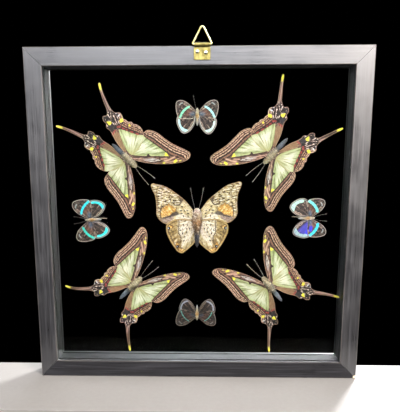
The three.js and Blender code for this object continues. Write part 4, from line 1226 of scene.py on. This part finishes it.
# %% [markdown]
# ## Scales
# All colour on a wing comes from scales, which lie like roof tiles. They make a soft, faintly
# shimmering matt, like chalk or velvet, and each colour's edge is a little ragged, because it
# steps from scale to scale. Real scales are a tenth of a millimetre wide and would not show, so
# they are drawn about three times as wide. Every mark is laid over the last, like paint.

# %% Wing finishes' common part
SCALE_WIDTH = 0.3        # mm, three times the real size, so that the grain shows
RAGGED = 0.45            # mm, how far a mark's edge strays


def wing_finish(name, roughness=0.7):
    """A scaled surface: its material, shader, place on the wing and stray of the marks' edges."""
    finish, shader = new_finish(name, Roughness=roughness, Specular_IOR_Level=0.3,
                                Sheen_Weight=0.1, Sheen_Roughness=0.4)
    on_wing = add(finish, "Attribute", attribute_name="wing").outputs["Vector"]
    drift = add(finish, "TexNoise", {"Vector": on_wing, "Scale": 1.1, "Detail": 4.0})
    stray = add(finish, "MapRange", {"Value": drift, "From Min": 0.25, "From Max": 0.75,
                                     "To Min": -RAGGED / 2, "To Max": RAGGED / 2})
    return finish, shader, on_wing, stray


def lay(finish, under, over, mark, stray, soft=0.12, share=1.0, grow=0.0):
    """Lays a colour over another where a mark's distance is below zero, or below grow."""
    reach = add(finish, "Math", {0: mark, 1: stray}, operation="ADD")
    mask = add(finish, "MapRange", {"Value": reach, "From Min": grow + soft,
                                    "From Max": grow - soft, "To Max": share})
    return add(finish, "Mix", {0: mask, 6: under, 7: over}, **BLEND)


def line_at(finish, under, over, name, far, near, share):
    """Lays a colour where a distance is under far, in full from near on."""
    mask = add(finish, "MapRange", {"Value": name, "From Min": far,
                                    "From Max": near, "To Max": share})
    return add(finish, "Mix", {0: mask, 6: under, 7: over}, **BLEND)


def streaked(finish, on_wing, stretch, stops, detail=4.0):
    """Colours that run in streaks; stretch is the pattern's size along and across, in mm."""
    laid = add(finish, "Mapping", {"Vector": on_wing,
                                   "Scale": (1 / stretch[0], 1 / stretch[1], 1.0)})
    ramp = add(finish, "ValToRGB", {"Fac": add(finish, "TexNoise", {
        "Vector": laid, "Scale": 1.0, "Detail": detail, "Roughness": 0.6})})
    set_stops(ramp, stops)
    return ramp


FAN_BEHIND, FAN_STRETCH = 6.0, 0.06      # mm, its centre behind the hinge; pattern units to a mm


def fanned(finish, on_wing, folds, stops, detail=3.0):
    """Colours in streaks that fan out from the wing's root, so many folds to a radian."""
    xyz = add(finish, "SeparateXYZ", {0: on_wing})
    angle = add(finish, "Math", {0: xyz.outputs["Y"], 1: add(finish, "Math", {
        0: xyz.outputs["X"], 1: FAN_BEHIND}, operation="ADD")}, operation="ARCTAN2")
    out = add(finish, "VectorMath", {0: on_wing}, operation="LENGTH")
    polar = add(finish, "CombineXYZ", {
        "X": add(finish, "Math", {0: angle, 1: float(folds)}, operation="MULTIPLY"),
        "Y": add(finish, "Math", {0: out, 1: FAN_STRETCH}, operation="MULTIPLY")})
    ramp = add(finish, "ValToRGB", {"Fac": add(finish, "TexNoise", {
        "Vector": polar, "Scale": 1.0, "Detail": detail, "Roughness": 0.6})})
    set_stops(ramp, stops)
    return ramp


def scale_grain(finish, shader, on_wing, colour, depth=0.03):
    """Breaks a wing's colour into scales, gives them relief and feeds the shader."""
    tiles = add(finish, "TexVoronoi", {"Vector": on_wing, "Scale": 1 / SCALE_WIDTH})
    tint = add(finish, "MapRange", {"Value": tiles.outputs["Color"], "To Min": 0.8,
                                    "To Max": 1.06})
    grained = add(finish, "Mix", {0: 1.0, 6: colour, 7: tint}, **DARKEN)
    relief = add(finish, "Bump", {"Height": tiles.outputs["Distance"], "Strength": 0.35,
                                  "Distance": depth * MM})
    feed(finish, shader, Base_Color=grained, Normal=relief)
    return finish


# %% [markdown]
# ## Kite finishes
# Both sides of a kite's wing share one plan, and only the colours differ. The stripes along the
# margin are one ramp over the way from the field to the outer edge, so they narrow towards the
# tip with the margin itself, as the real ones do.

# %% Kite wings
def kite_finish(name, look):
    """One side of a kite's wings, in the colours of a look."""
    finish, shader, on_wing, stray = wing_finish(name)
    brown = streaked(finish, on_wing, (5.5, 1.1), look["brown"])
    lobes = streaked(finish, on_wing, (3.4, 1.2), look["lobes"])
    beads = streaked(finish, on_wing, (1.5, 1.5), look["beads"], 2.0)
    jitter = add(finish, "Math", {0: stray, 1: 0.1}, operation="MULTIPLY")
    across = add(finish, "Math", {0: "margin", 1: jitter}, operation="ADD")
    stripes = []
    for part in ("fore_stripes", "hind_stripes"):
        ramp = add(finish, "ValToRGB", {"Fac": across})
        set_stops(ramp, look[part])
        stripes.append(ramp)
    margin = add(finish, "Mix", {0: "hind", 6: stripes[0], 7: stripes[1]}, **BLEND)
    margin = add(finish, "Mix", {0: 1.0, 6: margin, 7: beads}, **DARKEN)
    colour = lay(finish, brown, margin, "border", stray, 0.2)
    colour = line_at(finish, colour, look["vein_dark"], "vein", 0.4, 0.12, 0.6)
    ash = streaked(finish, on_wing, (7.0, 1.0), look["ash"], 2.0)
    colour = lay(finish, colour, ash, "ash", stray, 0.5, 0.95)
    colour = lay(finish, colour, look["rose"], "rose", stray, 0.6, 0.6)
    colour = lay(finish, colour, look["blush"], "blush", stray, 0.3, 0.85)
    colour = lay(finish, colour, lobes, "lobe", stray, 0.5)

    inward = add(finish, "MapRange", {"Value": "field", "From Max": -6.0})
    pale = add(finish, "ValToRGB", {"Fac": inward})
    set_stops(pale, look["field"])
    # Painted shade: the pale field is darkened in streaks that fan out from the root, as shade in
    # the wing's folds.
    folds = fanned(finish, on_wing, 11, [(0.38, "#9ea385"), (0.47, "#d9dccb"), (0.53, "#ffffff")])
    pale = add(finish, "Mix", {0: 1.0, 6: pale, 7: folds}, **DARKEN)
    out = add(finish, "SeparateXYZ", {0: on_wing}).outputs["X"]
    near_root = add(finish, "MapRange", {"Value": out, "From Min": 8.0, "From Max": 0.0,
                                         "To Max": 0.6})
    pale = add(finish, "Mix", {0: near_root, 6: pale, 7: look["root"]}, **BLEND)
    pale = line_at(finish, pale, look["vein_pale"], "vein", 0.3, 0.08, 0.4)
    colour = lay(finish, colour, pale, "field", stray)

    for mark, soft in (("amber", 0.4), ("umber", 0.12), ("ink", 0.15), ("pearl", 0.12),
                       ("red", 0.15), ("lemon", 0.12)):
        share = 0.75 if mark in ("red", "amber") else 0.95
        colour = lay(finish, colour, look[mark], mark, stray, soft, share)

    side = add(finish, "SeparateXYZ", {0: on_wing}).outputs["Y"]
    tail = add(finish, "ValToRGB", {"Fac": add(finish, "MapRange", {
        "Value": side, "From Min": -1.6, "From Max": 1.6})})
    set_stops(tail, look["tail"])
    on_tail = add(finish, "MapRange", {"Value": out, "From Min": 40.0, "From Max": 43.5,
                                       "To Max": "hind"})
    colour = add(finish, "Mix", {0: on_tail, 6: colour, 7: tail}, **BLEND)
    colour = line_at(finish, colour, look["tip"], "tip", 6.6, 5.0, 1.0)
    colour = line_at(finish, colour, look["fringe"], "edge", 0.4, 0.12, 0.75)
    return scale_grain(finish, shader, on_wing, colour)


KITE_UNDER = {
    "brown": [(0.36, "#221713"), (0.45, "#4a342a"), (0.54, "#6c5041"), (0.63, "#b5947b")],
    "lobes": [(0.43, "#0c0909"), (0.51, "#2a1d19"), (0.57, "#4f3a31"), (0.61, "#d8c9be")],
    "beads": [(0.4, "#6a635d"), (0.5, "#efebe7")],
    "fore_stripes": [(0.0, "#35231d"), (0.08, "#3a2720"), (0.13, "#7d5c4e"), (0.26, "#86634f"),
                     (0.3, "#251713"), (0.4, "#251713"), (0.44, "#d8baa2"), (0.5, "#cfae94"),
                     (0.54, "#43291f"), (0.61, "#3d261c"), (0.65, "#d8b9a0"), (0.7, "#caa88c"),
                     (0.74, "#38221a"), (0.8, "#38221a"), (0.84, "#dcbfa6"), (0.89, "#cfad91"),
                     (0.93, "#6d4a38"), (1.0, "#cfae93")],
    "hind_stripes": [(0.0, "#4a2326"), (0.16, "#54282a"), (0.22, "#2d1f1a"), (0.31, "#33241f"),
                     (0.35, "#b8967b"), (0.42, "#a98569"), (0.46, "#402c23"), (0.52, "#402c23"),
                     (0.56, "#c2a086"), (0.62, "#b08c70"), (0.66, "#3d2a21"), (0.73, "#47322a"),
                     (0.77, "#c9aa91"), (0.84, "#b7957b"), (0.88, "#4d372b"), (0.94, "#d4b9a4"),
                     (1.0, "#c9b09b")],
    "field": [(0.0, "#a3b17a"), (0.2, "#b3be8f"), (0.5, "#c3c9ab"), (1.0, "#d8dbc3")],
    "root": "#a8a268", "vein_dark": "#2e201b", "vein_pale": "#9fa873",
    "ash": [(0.42, "#2d2624"), (0.5, "#857d79"), (0.6, "#d0cbc7")],
    "rose": "#6b5046", "blush": "#bf9b88", "amber": "#7f6547", "umber": "#33231d",
    "ink": "#1c1a1f", "pearl": "#cfd6e0", "red": "#8c352f", "lemon": "#e6df3e",
    "tail": [(0.0, "#33231f"), (0.3, "#5c453c"), (0.55, "#a1857a"), (0.75, "#7a6055"),
             (1.0, "#4a3730")],
    "tip": "#dfd93a", "fringe": "#b08f77",
}
KITE_UPPER = dict(
    KITE_UNDER,
    brown=[(0.3, "#171412"), (0.45, "#241e1a"), (0.6, "#2e2621"), (0.75, "#4a3f36")],
    lobes=[(0.36, "#151210"), (0.5, "#2a231e"), (0.66, "#5a4d42")],
    fore_stripes=[(0.0, "#1b1715"), (0.5, "#201b18"), (0.56, "#b9c19a"), (0.64, "#c6cda6"),
                  (0.7, "#201b18"), (1.0, "#171412")],
    hind_stripes=[(0.0, "#1b1715"), (0.45, "#201b18"), (0.52, "#a9b2a0"), (0.6, "#c2cbb4"),
                  (0.68, "#201b18"), (1.0, "#171412")],
    field=[(0.0, "#c9d8a4"), (0.3, "#dde6bf"), (1.0, "#eef2da")],
    root="#6a6650", vein_dark="#100e0d", vein_pale="#8d9877", rose="#3a2f2b",
    ash=[(0.4, "#1f1c1b"), (0.55, "#3c3a3c"), (0.7, "#55534f")], blush="#4a413a", amber="#6b6552",
    umber="#1b1715", ink="#0f0e10", pearl="#9fb4d6", red="#b8352f",
    tail=[(0.0, "#171412"), (0.5, "#241e1a"), (1.0, "#2e2621")], tip="#cfd09a", fringe="#5a4f46")
kite_scales = [kite_finish("kite_underside_scales", KITE_UNDER),
               kite_finish("kite_upperside_scales", KITE_UPPER)]

# %% [markdown]
# ## Leaf-wing finishes
# The dead-leaf pattern is cream, crossed by short dark dashes that run level over the whole
# insect, whatever way a wing points. So the dashes are noise stretched in the body's own
# directions, and the rest is laid on in the wing's. A hind wing is duller than a fore wing.

# %% Leaf-wing
def leaf_underside():
    """The dead leaf, with each patch laid over the last."""
    finish, shader, on_wing, stray = wing_finish("leaf_wing_underside_scales", 0.75)
    spot = add(finish, "Attribute", attribute_name="spot").outputs["Vector"]
    wander = add(finish, "MapRange", {
        "Value": add(finish, "TexNoise", {"Vector": on_wing, "Scale": 0.42, "Detail": 3.0}),
        "From Min": 0.3, "From Max": 0.7, "To Min": -1.1, "To Max": 1.1})
    cream = streaked(finish, on_wing, (6.0, 1.8), [(0.34, "#9c885e"), (0.48, "#cbbb8d"),
                                                   (0.6, "#e3d8b8")])
    buff = fanned(finish, on_wing, 10, [(0.34, "#85744f"), (0.46, "#bdad84"), (0.58, "#ddd2b3")])
    colour = add(finish, "Mix", {0: "hind", 6: cream, 7: buff}, **BLEND)
    dashes = streaked(finish, spot, (3.9, 1.25), [
        (0.41, "#38291b"), (0.45, "#7b6543"), (0.475, "#bfac7d"), (0.54, "#cdbf96"),
        (0.58, "#dcd7cb"), (0.66, "#e9e6df")], 2.5)
    colour = lay(finish, colour, dashes, "dashes", wander, 0.8)
    olive = fanned(finish, on_wing, 8, [(0.34, "#6a5732"), (0.45, "#957d4e"), (0.55, "#b29c6c"),
                                        (0.63, "#dacdab")])
    mottle = streaked(finish, spot, (2.4, 1.6), [(0.36, "#86807a"), (0.52, "#ffffff")], 2.0)
    olive = add(finish, "Mix", {0: 0.8, 6: olive, 7: mottle}, **DARKEN)
    colour = lay(finish, colour, olive, "olive", wander, 0.3)
    silver = fanned(finish, on_wing, 11, [(0.36, "#a8976f"), (0.46, "#d9ceb2"), (0.56, "#eeeade")])
    colour = lay(finish, colour, silver, "silver", wander, 1.0, 0.95)
    honey = streaked(finish, on_wing, (4.0, 1.6), [(0.4, "#a9772f"), (0.5, "#cf9a45"),
                                                   (0.58, "#ebd190")])
    colour = lay(finish, colour, "#432c1a", "honey", wander, 0.25, 0.85, 0.6)
    colour = lay(finish, colour, honey, "honey", wander, 0.3, 0.95)
    mauve = streaked(finish, on_wing, (2.0, 2.0), [(0.38, "#584850"), (0.6, "#a58d8c")])
    colour = lay(finish, colour, mauve, "mauve", wander, 0.7, 0.85)
    worn = streaked(finish, spot, (3.0, 2.2), [(0.4, "#b3a48c"), (0.52, "#ffffff")], 3.0)
    colour = add(finish, "Mix", {0: 0.6, 6: colour, 7: worn}, **DARKEN)
    colour = line_at(finish, colour, "#8b764c", "vein", 0.36, 0.1, 0.6)
    for mark, shade, soft, share, grow in (
            ("slate", "#2d242a", 0.4, 0.9, 0.0), ("umber", "#39281a", 0.2, 0.9, 0.0),
            ("brow", "#5c462b", 0.2, 0.85, 0.0), ("fleck", "#221b16", 0.15, 0.95, 0.16),
            ("ink", "#131118", 0.15, 1.0, 0.2), ("pearl", "#b4c2ea", 0.15, 1.0, 0.0)):
        colour = lay(finish, colour, shade, mark, stray, soft, share, grow)
    rim = add(finish, "Math", {0: wander, 1: 0.35}, operation="MULTIPLY")
    for far, shade, on_fore, on_hind in ((2.1, "#5f4723", 0.3, 0.6), (1.3, "#c7ae72", 0.0, 0.7),
                                         (0.75, "#7d5d30", 0.75, 0.8)):
        near = add(finish, "Math", {0: "edge", 1: rim}, operation="ADD")
        share = add(finish, "MapRange", {"Value": "hind", "To Min": on_fore, "To Max": on_hind})
        mask = add(finish, "MapRange", {"Value": near, "From Min": far, "From Max": far - 0.35,
                                        "To Max": share})
        colour = add(finish, "Mix", {0: mask, 6: colour, 7: shade}, **BLEND)
    return scale_grain(finish, shader, on_wing, colour)


def leaf_upperside():
    """Dark brown with a honey band, which only the show side has."""
    finish, shader, on_wing, stray = wing_finish("leaf_wing_upperside_scales", 0.6)
    brown = streaked(finish, on_wing, (6.0, 1.6), [(0.3, "#241a14"), (0.5, "#38291f"),
                                                   (0.7, "#4b3829")])
    out = add(finish, "SeparateXYZ", {0: on_wing}).outputs["X"]
    band = add(finish, "ValToRGB", {"Fac": add(finish, "MapRange", {
        "Value": add(finish, "Math", {0: out, 1: stray}, operation="ADD"),
        "From Max": 40.0})})
    set_stops(band, [(0.0, "#2c2018"), (0.4, "#33251b"), (0.5, "#a8672a"), (0.6, "#dca45a"),
                     (0.68, "#e6bf7e"), (0.72, "#3a2a1f"), (1.0, "#1f1713")])
    colour = add(finish, "Mix", {0: 0.75, 6: brown, 7: band}, **BLEND)
    colour = line_at(finish, colour, "#19120e", "vein", 0.35, 0.1, 0.7)
    colour = lay(finish, colour, "#100d10", "ink", stray, 0.2)
    colour = line_at(finish, colour, "#c9a877", "edge", 0.5, 0.25, 0.7)
    return scale_grain(finish, shader, on_wing, colour)


leaf_scales = [leaf_underside(), leaf_upperside()]

# %% [markdown]
# ## Small ones' finishes
# The brown-black upperside has loose pale scales in it, and its bands are structural colour:
# the same scales look green, turquoise or royal blue as the wing tilts to the light. As each
# small one is set at another tilt, each gets its own band colours, and a painted shade that
# darkens its whole upperside, most on the bottom one, which gets the least light.

# %% Small wings
def small_upperside(name, look):
    """Brown-black with the bands of one small specimen."""
    finish, shader, on_wing, stray = wing_finish(f"small_upperside_scales_{name}", 0.55)
    body_x = add(finish, "SeparateXYZ", {
        0: add(finish, "Attribute", attribute_name="spot").outputs["Vector"]}).outputs["X"]
    right = add(finish, "Math", {0: body_x, 1: 0.0}, operation="GREATER_THAN")
    ground = fanned(finish, on_wing, 9, [(0.38, "#1d1513"), (0.47, "#3a2d26"), (0.54, "#57463c"),
                                         (0.63, "#a08d7e")], 4.0)
    net = streaked(finish, on_wing, (1.9, 1.9), [(0.42, "#352e2a"), (0.5, "#ffffff")], 2.5)
    colour = add(finish, "Mix", {0: 0.95, 6: ground, 7: net}, **DARKEN)
    colour = lay(finish, colour, "#8a5a45", "russet", stray, 1.2, 0.4)
    colour = line_at(finish, colour, "#1d1614", "vein", 0.26, 0.08, 0.6)
    colour = lay(finish, colour, "#4f86a8", "root", stray, 1.2, 0.35)
    colour = lay(finish, colour, "#c2a88a", "fold", stray, 0.8, 0.75)
    if "royal" in look:
        for mark, shade, share in (("haze", "#3f40b0", 0.8), ("royal", "#2a2ff2", 1.0)):
            blue = add(finish, "Mix", {0: right, 6: colour, 7: shade}, **BLEND)
            colour = lay(finish, colour, blue, mark, stray, 1.0, share)
    bands = [add(finish, "Mix", {0: right, 6: look[part][0], 7: look[part][1]}, **BLEND)
             for part in ("fore", "hind")]
    band = add(finish, "Mix", {0: "hind", 6: bands[0], 7: bands[1]}, **BLEND)
    band = line_at(finish, band, "#2c4444", "vein", 0.22, 0.06, 0.6)
    wide = add(finish, "MapRange", {"Value": "hind", "To Min": -look["wider"][0],
                                    "To Max": -look["wider"][1]})
    strayed = add(finish, "Math", {0: "band", 1: stray}, operation="ADD")
    reach = add(finish, "Math", {0: strayed, 1: wide}, operation="ADD")
    mask = add(finish, "MapRange", {"Value": reach, "From Min": 0.12, "From Max": -0.12})
    colour = add(finish, "Mix", {0: mask, 6: colour, 7: band}, **BLEND)
    colour = lay(finish, colour, "#a9b3b1", "dash", stray, 0.2, 0.7)
    line = line_at(finish, colour, "#cfd2cc", "edge", 1.5, 1.3, look["rim"])
    line = line_at(finish, line, "#1d1614", "edge", 1.1, 0.9, 0.85)
    colour = add(finish, "Mix", {0: "hind", 6: colour, 7: line}, **BLEND)
    outer = add(finish, "MapRange", {
        "Value": add(finish, "SeparateXYZ", {0: on_wing}).outputs["X"],
        "From Min": 8.0, "From Max": 11.0, "To Min": 0.1, "To Max": 0.85})
    colour = line_at(finish, colour, "#c4b8ae", "edge", 0.45, 0.25, outer)
    # Painted shade: the whole upperside is darkened by the look's grey, where a specimen gets less
    # light.
    colour = add(finish, "Mix", {0: 1.0, 6: colour, 7: look["painted_shade"]}, **DARKEN)
    return scale_grain(finish, shader, on_wing, colour, 0.02)


def small_underside():
    """Pale with black rings, and a red root on the fore wing."""
    finish, shader, on_wing, stray = wing_finish("small_underside_scales")
    brown = streaked(finish, on_wing, (4.0, 0.6), [(0.3, "#2b211d"), (0.6, "#4c3d36")])
    pale = streaked(finish, on_wing, (3.0, 1.0), [(0.3, "#c3bfb4"), (0.6, "#e2dfd4")])
    colour = lay(finish, brown, pale, "cream", stray, 0.3)
    colour = lay(finish, colour, "#b5403c", "coral", stray, 0.5)
    colour = line_at(finish, colour, "#6b6058", "vein", 0.2, 0.06, 0.5)
    colour = lay(finish, colour, "#191614", "line", stray, 0.12)
    colour = line_at(finish, colour, "#3a302b", "edge", 0.5, 0.2, 0.8)
    return scale_grain(finish, shader, on_wing, colour, 0.02)


# Each look's grey is a painted shade that darkens a specimen's whole upperside, most on the bottom
# one.
SMALL_BANDS = {      # the left and the right wing, and how much wider than the mark, in mm
    "small_top": {"fore": ("#7fe0b8", "#a9e6e6"), "hind": ("#b4eef2", "#cdf3e6"),
                  "wider": (0.0, 0.15), "painted_shade": "#f7f7f7", "rim": 0.8},
    "small_left": {"fore": ("#35cfc0", "#22dff0"), "hind": ("#20ecec", "#22e2ee"),
                   "wider": (0.05, 0.35), "painted_shade": "#f4f4f4", "rim": 0.45},
    "small_right": {"fore": ("#6fe6de", "#3ad2e4"), "hind": ("#b3dcd0", "#a3c3c6"),
                    "wider": (0.3, 0.9), "royal": True, "painted_shade": "#ffffff", "rim": 0.3},
    "small_bottom": {"fore": ("#6fd0c8", "#78cfc4"), "hind": ("#d3dff5", "#cdd9f0"),
                     "wider": (-0.45, -0.2), "painted_shade": "#a9a5a3", "rim": 0.2},
}
small_lower = small_underside()
SCALES = {name: [small_upperside(name, look), small_lower] for name, look in SMALL_BANDS.items()}
SCALES |= {name: kite_scales if setting["kind"] is KITE else leaf_scales
           for name, setting in SPECIMENS.items() if setting["kind"] is not SMALL}
print(len(SCALES), "sets of wing finishes")

# %% [markdown]
# ## Skin, hair and eyes
# A dry body is horn-like skin, dull where scales cover it and glossy on the eyes. Hair is drawn
# in four or five tones that change from tuft to tuft, as fur does, with another tone down the
# abdomen. The legs and feelers are bare horn, in a tone for each kind of part.

# %% Body finishes
def skin_finish(name, stops, length):
    """Skin whose colour runs from the tail end to the head; shade 1 is an eye."""
    skin, shader = new_finish(name, Specular_IOR_Level=0.4)
    spot = add(skin, "Attribute", attribute_name="spot").outputs["Vector"]
    along = add(skin, "SeparateXYZ", {0: spot}).outputs["Y"]
    mottle = add(skin, "TexNoise", {"Vector": spot, "Scale": 0.8, "Detail": 5.0})
    place = add(skin, "MapRange", {"Value": along, "From Min": length[0], "From Max": length[1]})
    strayed = add(skin, "Math", {0: place, 1: add(skin, "MapRange", {
        "Value": mottle, "From Min": 0.2, "From Max": 0.8, "To Min": -0.05, "To Max": 0.05})},
        operation="ADD")
    ramp = add(skin, "ValToRGB", {"Fac": strayed})
    set_stops(ramp, stops)
    spotted = add(skin, "Mix", {0: 0.45, 6: ramp, 7: mottle}, **BLEND, blend_type="OVERLAY")
    colour = add(skin, "Mix", {0: "shade", 6: spotted, 7: "#2a1a12"}, **BLEND)
    rough = add(skin, "MapRange", {"Value": "shade", "To Min": 0.6, "To Max": 0.12})
    bump = add(skin, "Bump", {"Height": mottle, "Strength": 0.4, "Distance": 0.08 * MM})
    feed(skin, shader, Base_Color=colour, Roughness=rough, Normal=bump)
    return skin


def hair_finish(name, tones, abdomen, waist, collar):
    """Hair whose tone changes from tuft to tuft, with one tone behind the waist; the collar is
    the tone of the head and where it starts."""
    hair, shader = new_finish(name, Roughness=0.55, Sheen_Weight=0.2)
    spot = add(hair, "Attribute", attribute_name="spot").outputs["Vector"]
    tufts = add(hair, "TexNoise", {"Vector": spot, "Scale": 0.4, "Detail": 3.0})
    clump = add(hair, "MapRange", {"Value": tufts, "From Min": 0.44, "From Max": 0.58})
    own = add(hair, "Mix", {0: 0.25, 2: clump, 3: "shade"})
    ramp = add(hair, "ValToRGB", {"Fac": own})
    set_stops(ramp, tones)
    along = add(hair, "SeparateXYZ", {0: spot}).outputs["Y"]
    ahead = add(hair, "MapRange", {"Value": along, "From Min": collar[1] - 1.5,
                                   "From Max": collar[1] + 0.5, "To Max": 0.6})
    colour = add(hair, "Mix", {0: ahead, 6: ramp, 7: collar[0]}, **BLEND)
    behind = add(hair, "MapRange", {"Value": along, "From Min": waist + 1, "From Max": waist - 1})
    colour = add(hair, "Mix", {0: behind, 6: colour, 7: abdomen}, **BLEND)
    feed(hair, shader, Base_Color=colour)
    return hair


def horn_finish(name, tones):
    """Bare horn of legs and feelers, by shade from leg to feeler."""
    horn, shader = new_finish(name, Roughness=0.42)
    spot = add(horn, "Attribute", attribute_name="spot").outputs["Vector"]
    ramp = add(horn, "ValToRGB", {"Fac": "shade"})
    set_stops(ramp, tones)
    mottle = add(horn, "TexNoise", {"Vector": spot, "Scale": 1.6, "Detail": 2.0})
    spotted = add(horn, "Mix", {0: 0.35, 6: ramp, 7: mottle}, **BLEND, blend_type="OVERLAY")
    feed(horn, shader, Base_Color=spotted)
    return horn


KITE_BODY = (
    skin_finish("kite_body_skin", [(0.0, "#2c3238"), (0.3, "#566069"), (0.42, "#3b4046"),
                                   (0.5, "#8b8472"), (0.75, "#a39a80"), (1.0, "#8f8463")],
                (-19, 11)),
    hair_finish("kite_hair", [(0.1, "#0c0907"), (0.5, "#2a2218"), (0.6, "#8a7a4c"),
                              (0.72, "#c2a03c"), (0.95, "#f6f0dc")], "#566069", -6,
                ("#b3a67f", 8.5)),
    horn_finish("kite_horn", [(0.2, "#5a5044"), (0.6, "#b5a98a"), (0.8, "#8d8880")]))
LEAF_BODY = (
    skin_finish("leaf_wing_body_skin", [(0.0, "#2c2c33"), (0.3, "#45454f"), (0.4, "#5a4a38"),
                                        (0.7, "#8f6b45"), (0.86, "#b9a88c"), (1.0, "#8f3f2e")],
                (-21, 15)),
    hair_finish("leaf_wing_hair", [(0.1, "#21170f"), (0.35, "#6e4a28"), (0.5, "#a37a48"),
                                   (0.62, "#dcc59c"), (0.8, "#fdf9f0")], "#4b4b55", -7,
                ("#e9dfd2", 11.5)),
    horn_finish("leaf_wing_horn", [(0.2, "#6b4a32"), (0.6, "#d8cbb0"), (0.8, "#77736f")]))
SMALL_BODY = (
    skin_finish("small_body_skin", [(0.0, "#8f959b"), (0.35, "#958c76"), (0.6, "#a07a42"),
                                    (0.8, "#a0967f"), (1.0, "#8d8570")], (-9.6, 5.2)),
    hair_finish("small_hair", [(0.1, "#453c2f"), (0.38, "#9a8f71"), (0.58, "#bd8f4c"),
                               (0.8, "#e6dfcb")], "#98988f", -3, ("#b0a890", 3.4)),
    horn_finish("small_horn", [(0.2, "#b5ab98"), (0.6, "#cfc6ae"), (0.8, "#77726c")]))

# %% [markdown]
# ## Assemble the butterflies
# Wings first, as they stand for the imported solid, then the body, its hair and its limbs.

# %% Nine butterflies
HAIR_COUNT = {"kite_wing": 1100, "leaf_wing": 1500, "small_wing": 450}
for name, setting in SPECIMENS.items():
    kind = setting["kind"]
    skin, hair, horn = {"kite_wing": KITE_BODY, "leaf_wing": LEAF_BODY,
                        "small_wing": SMALL_BODY}[kind["slot"]]
    wings = build_wings(name, setting, SCALES[name])
    build_body(name, setting, skin)
    build_fur(name, setting, hair, HAIR_COUNT[kind["slot"]])
    build_limbs(name, setting, horn)
    print(name, len(wings.data.polygons), "faces in the wings")
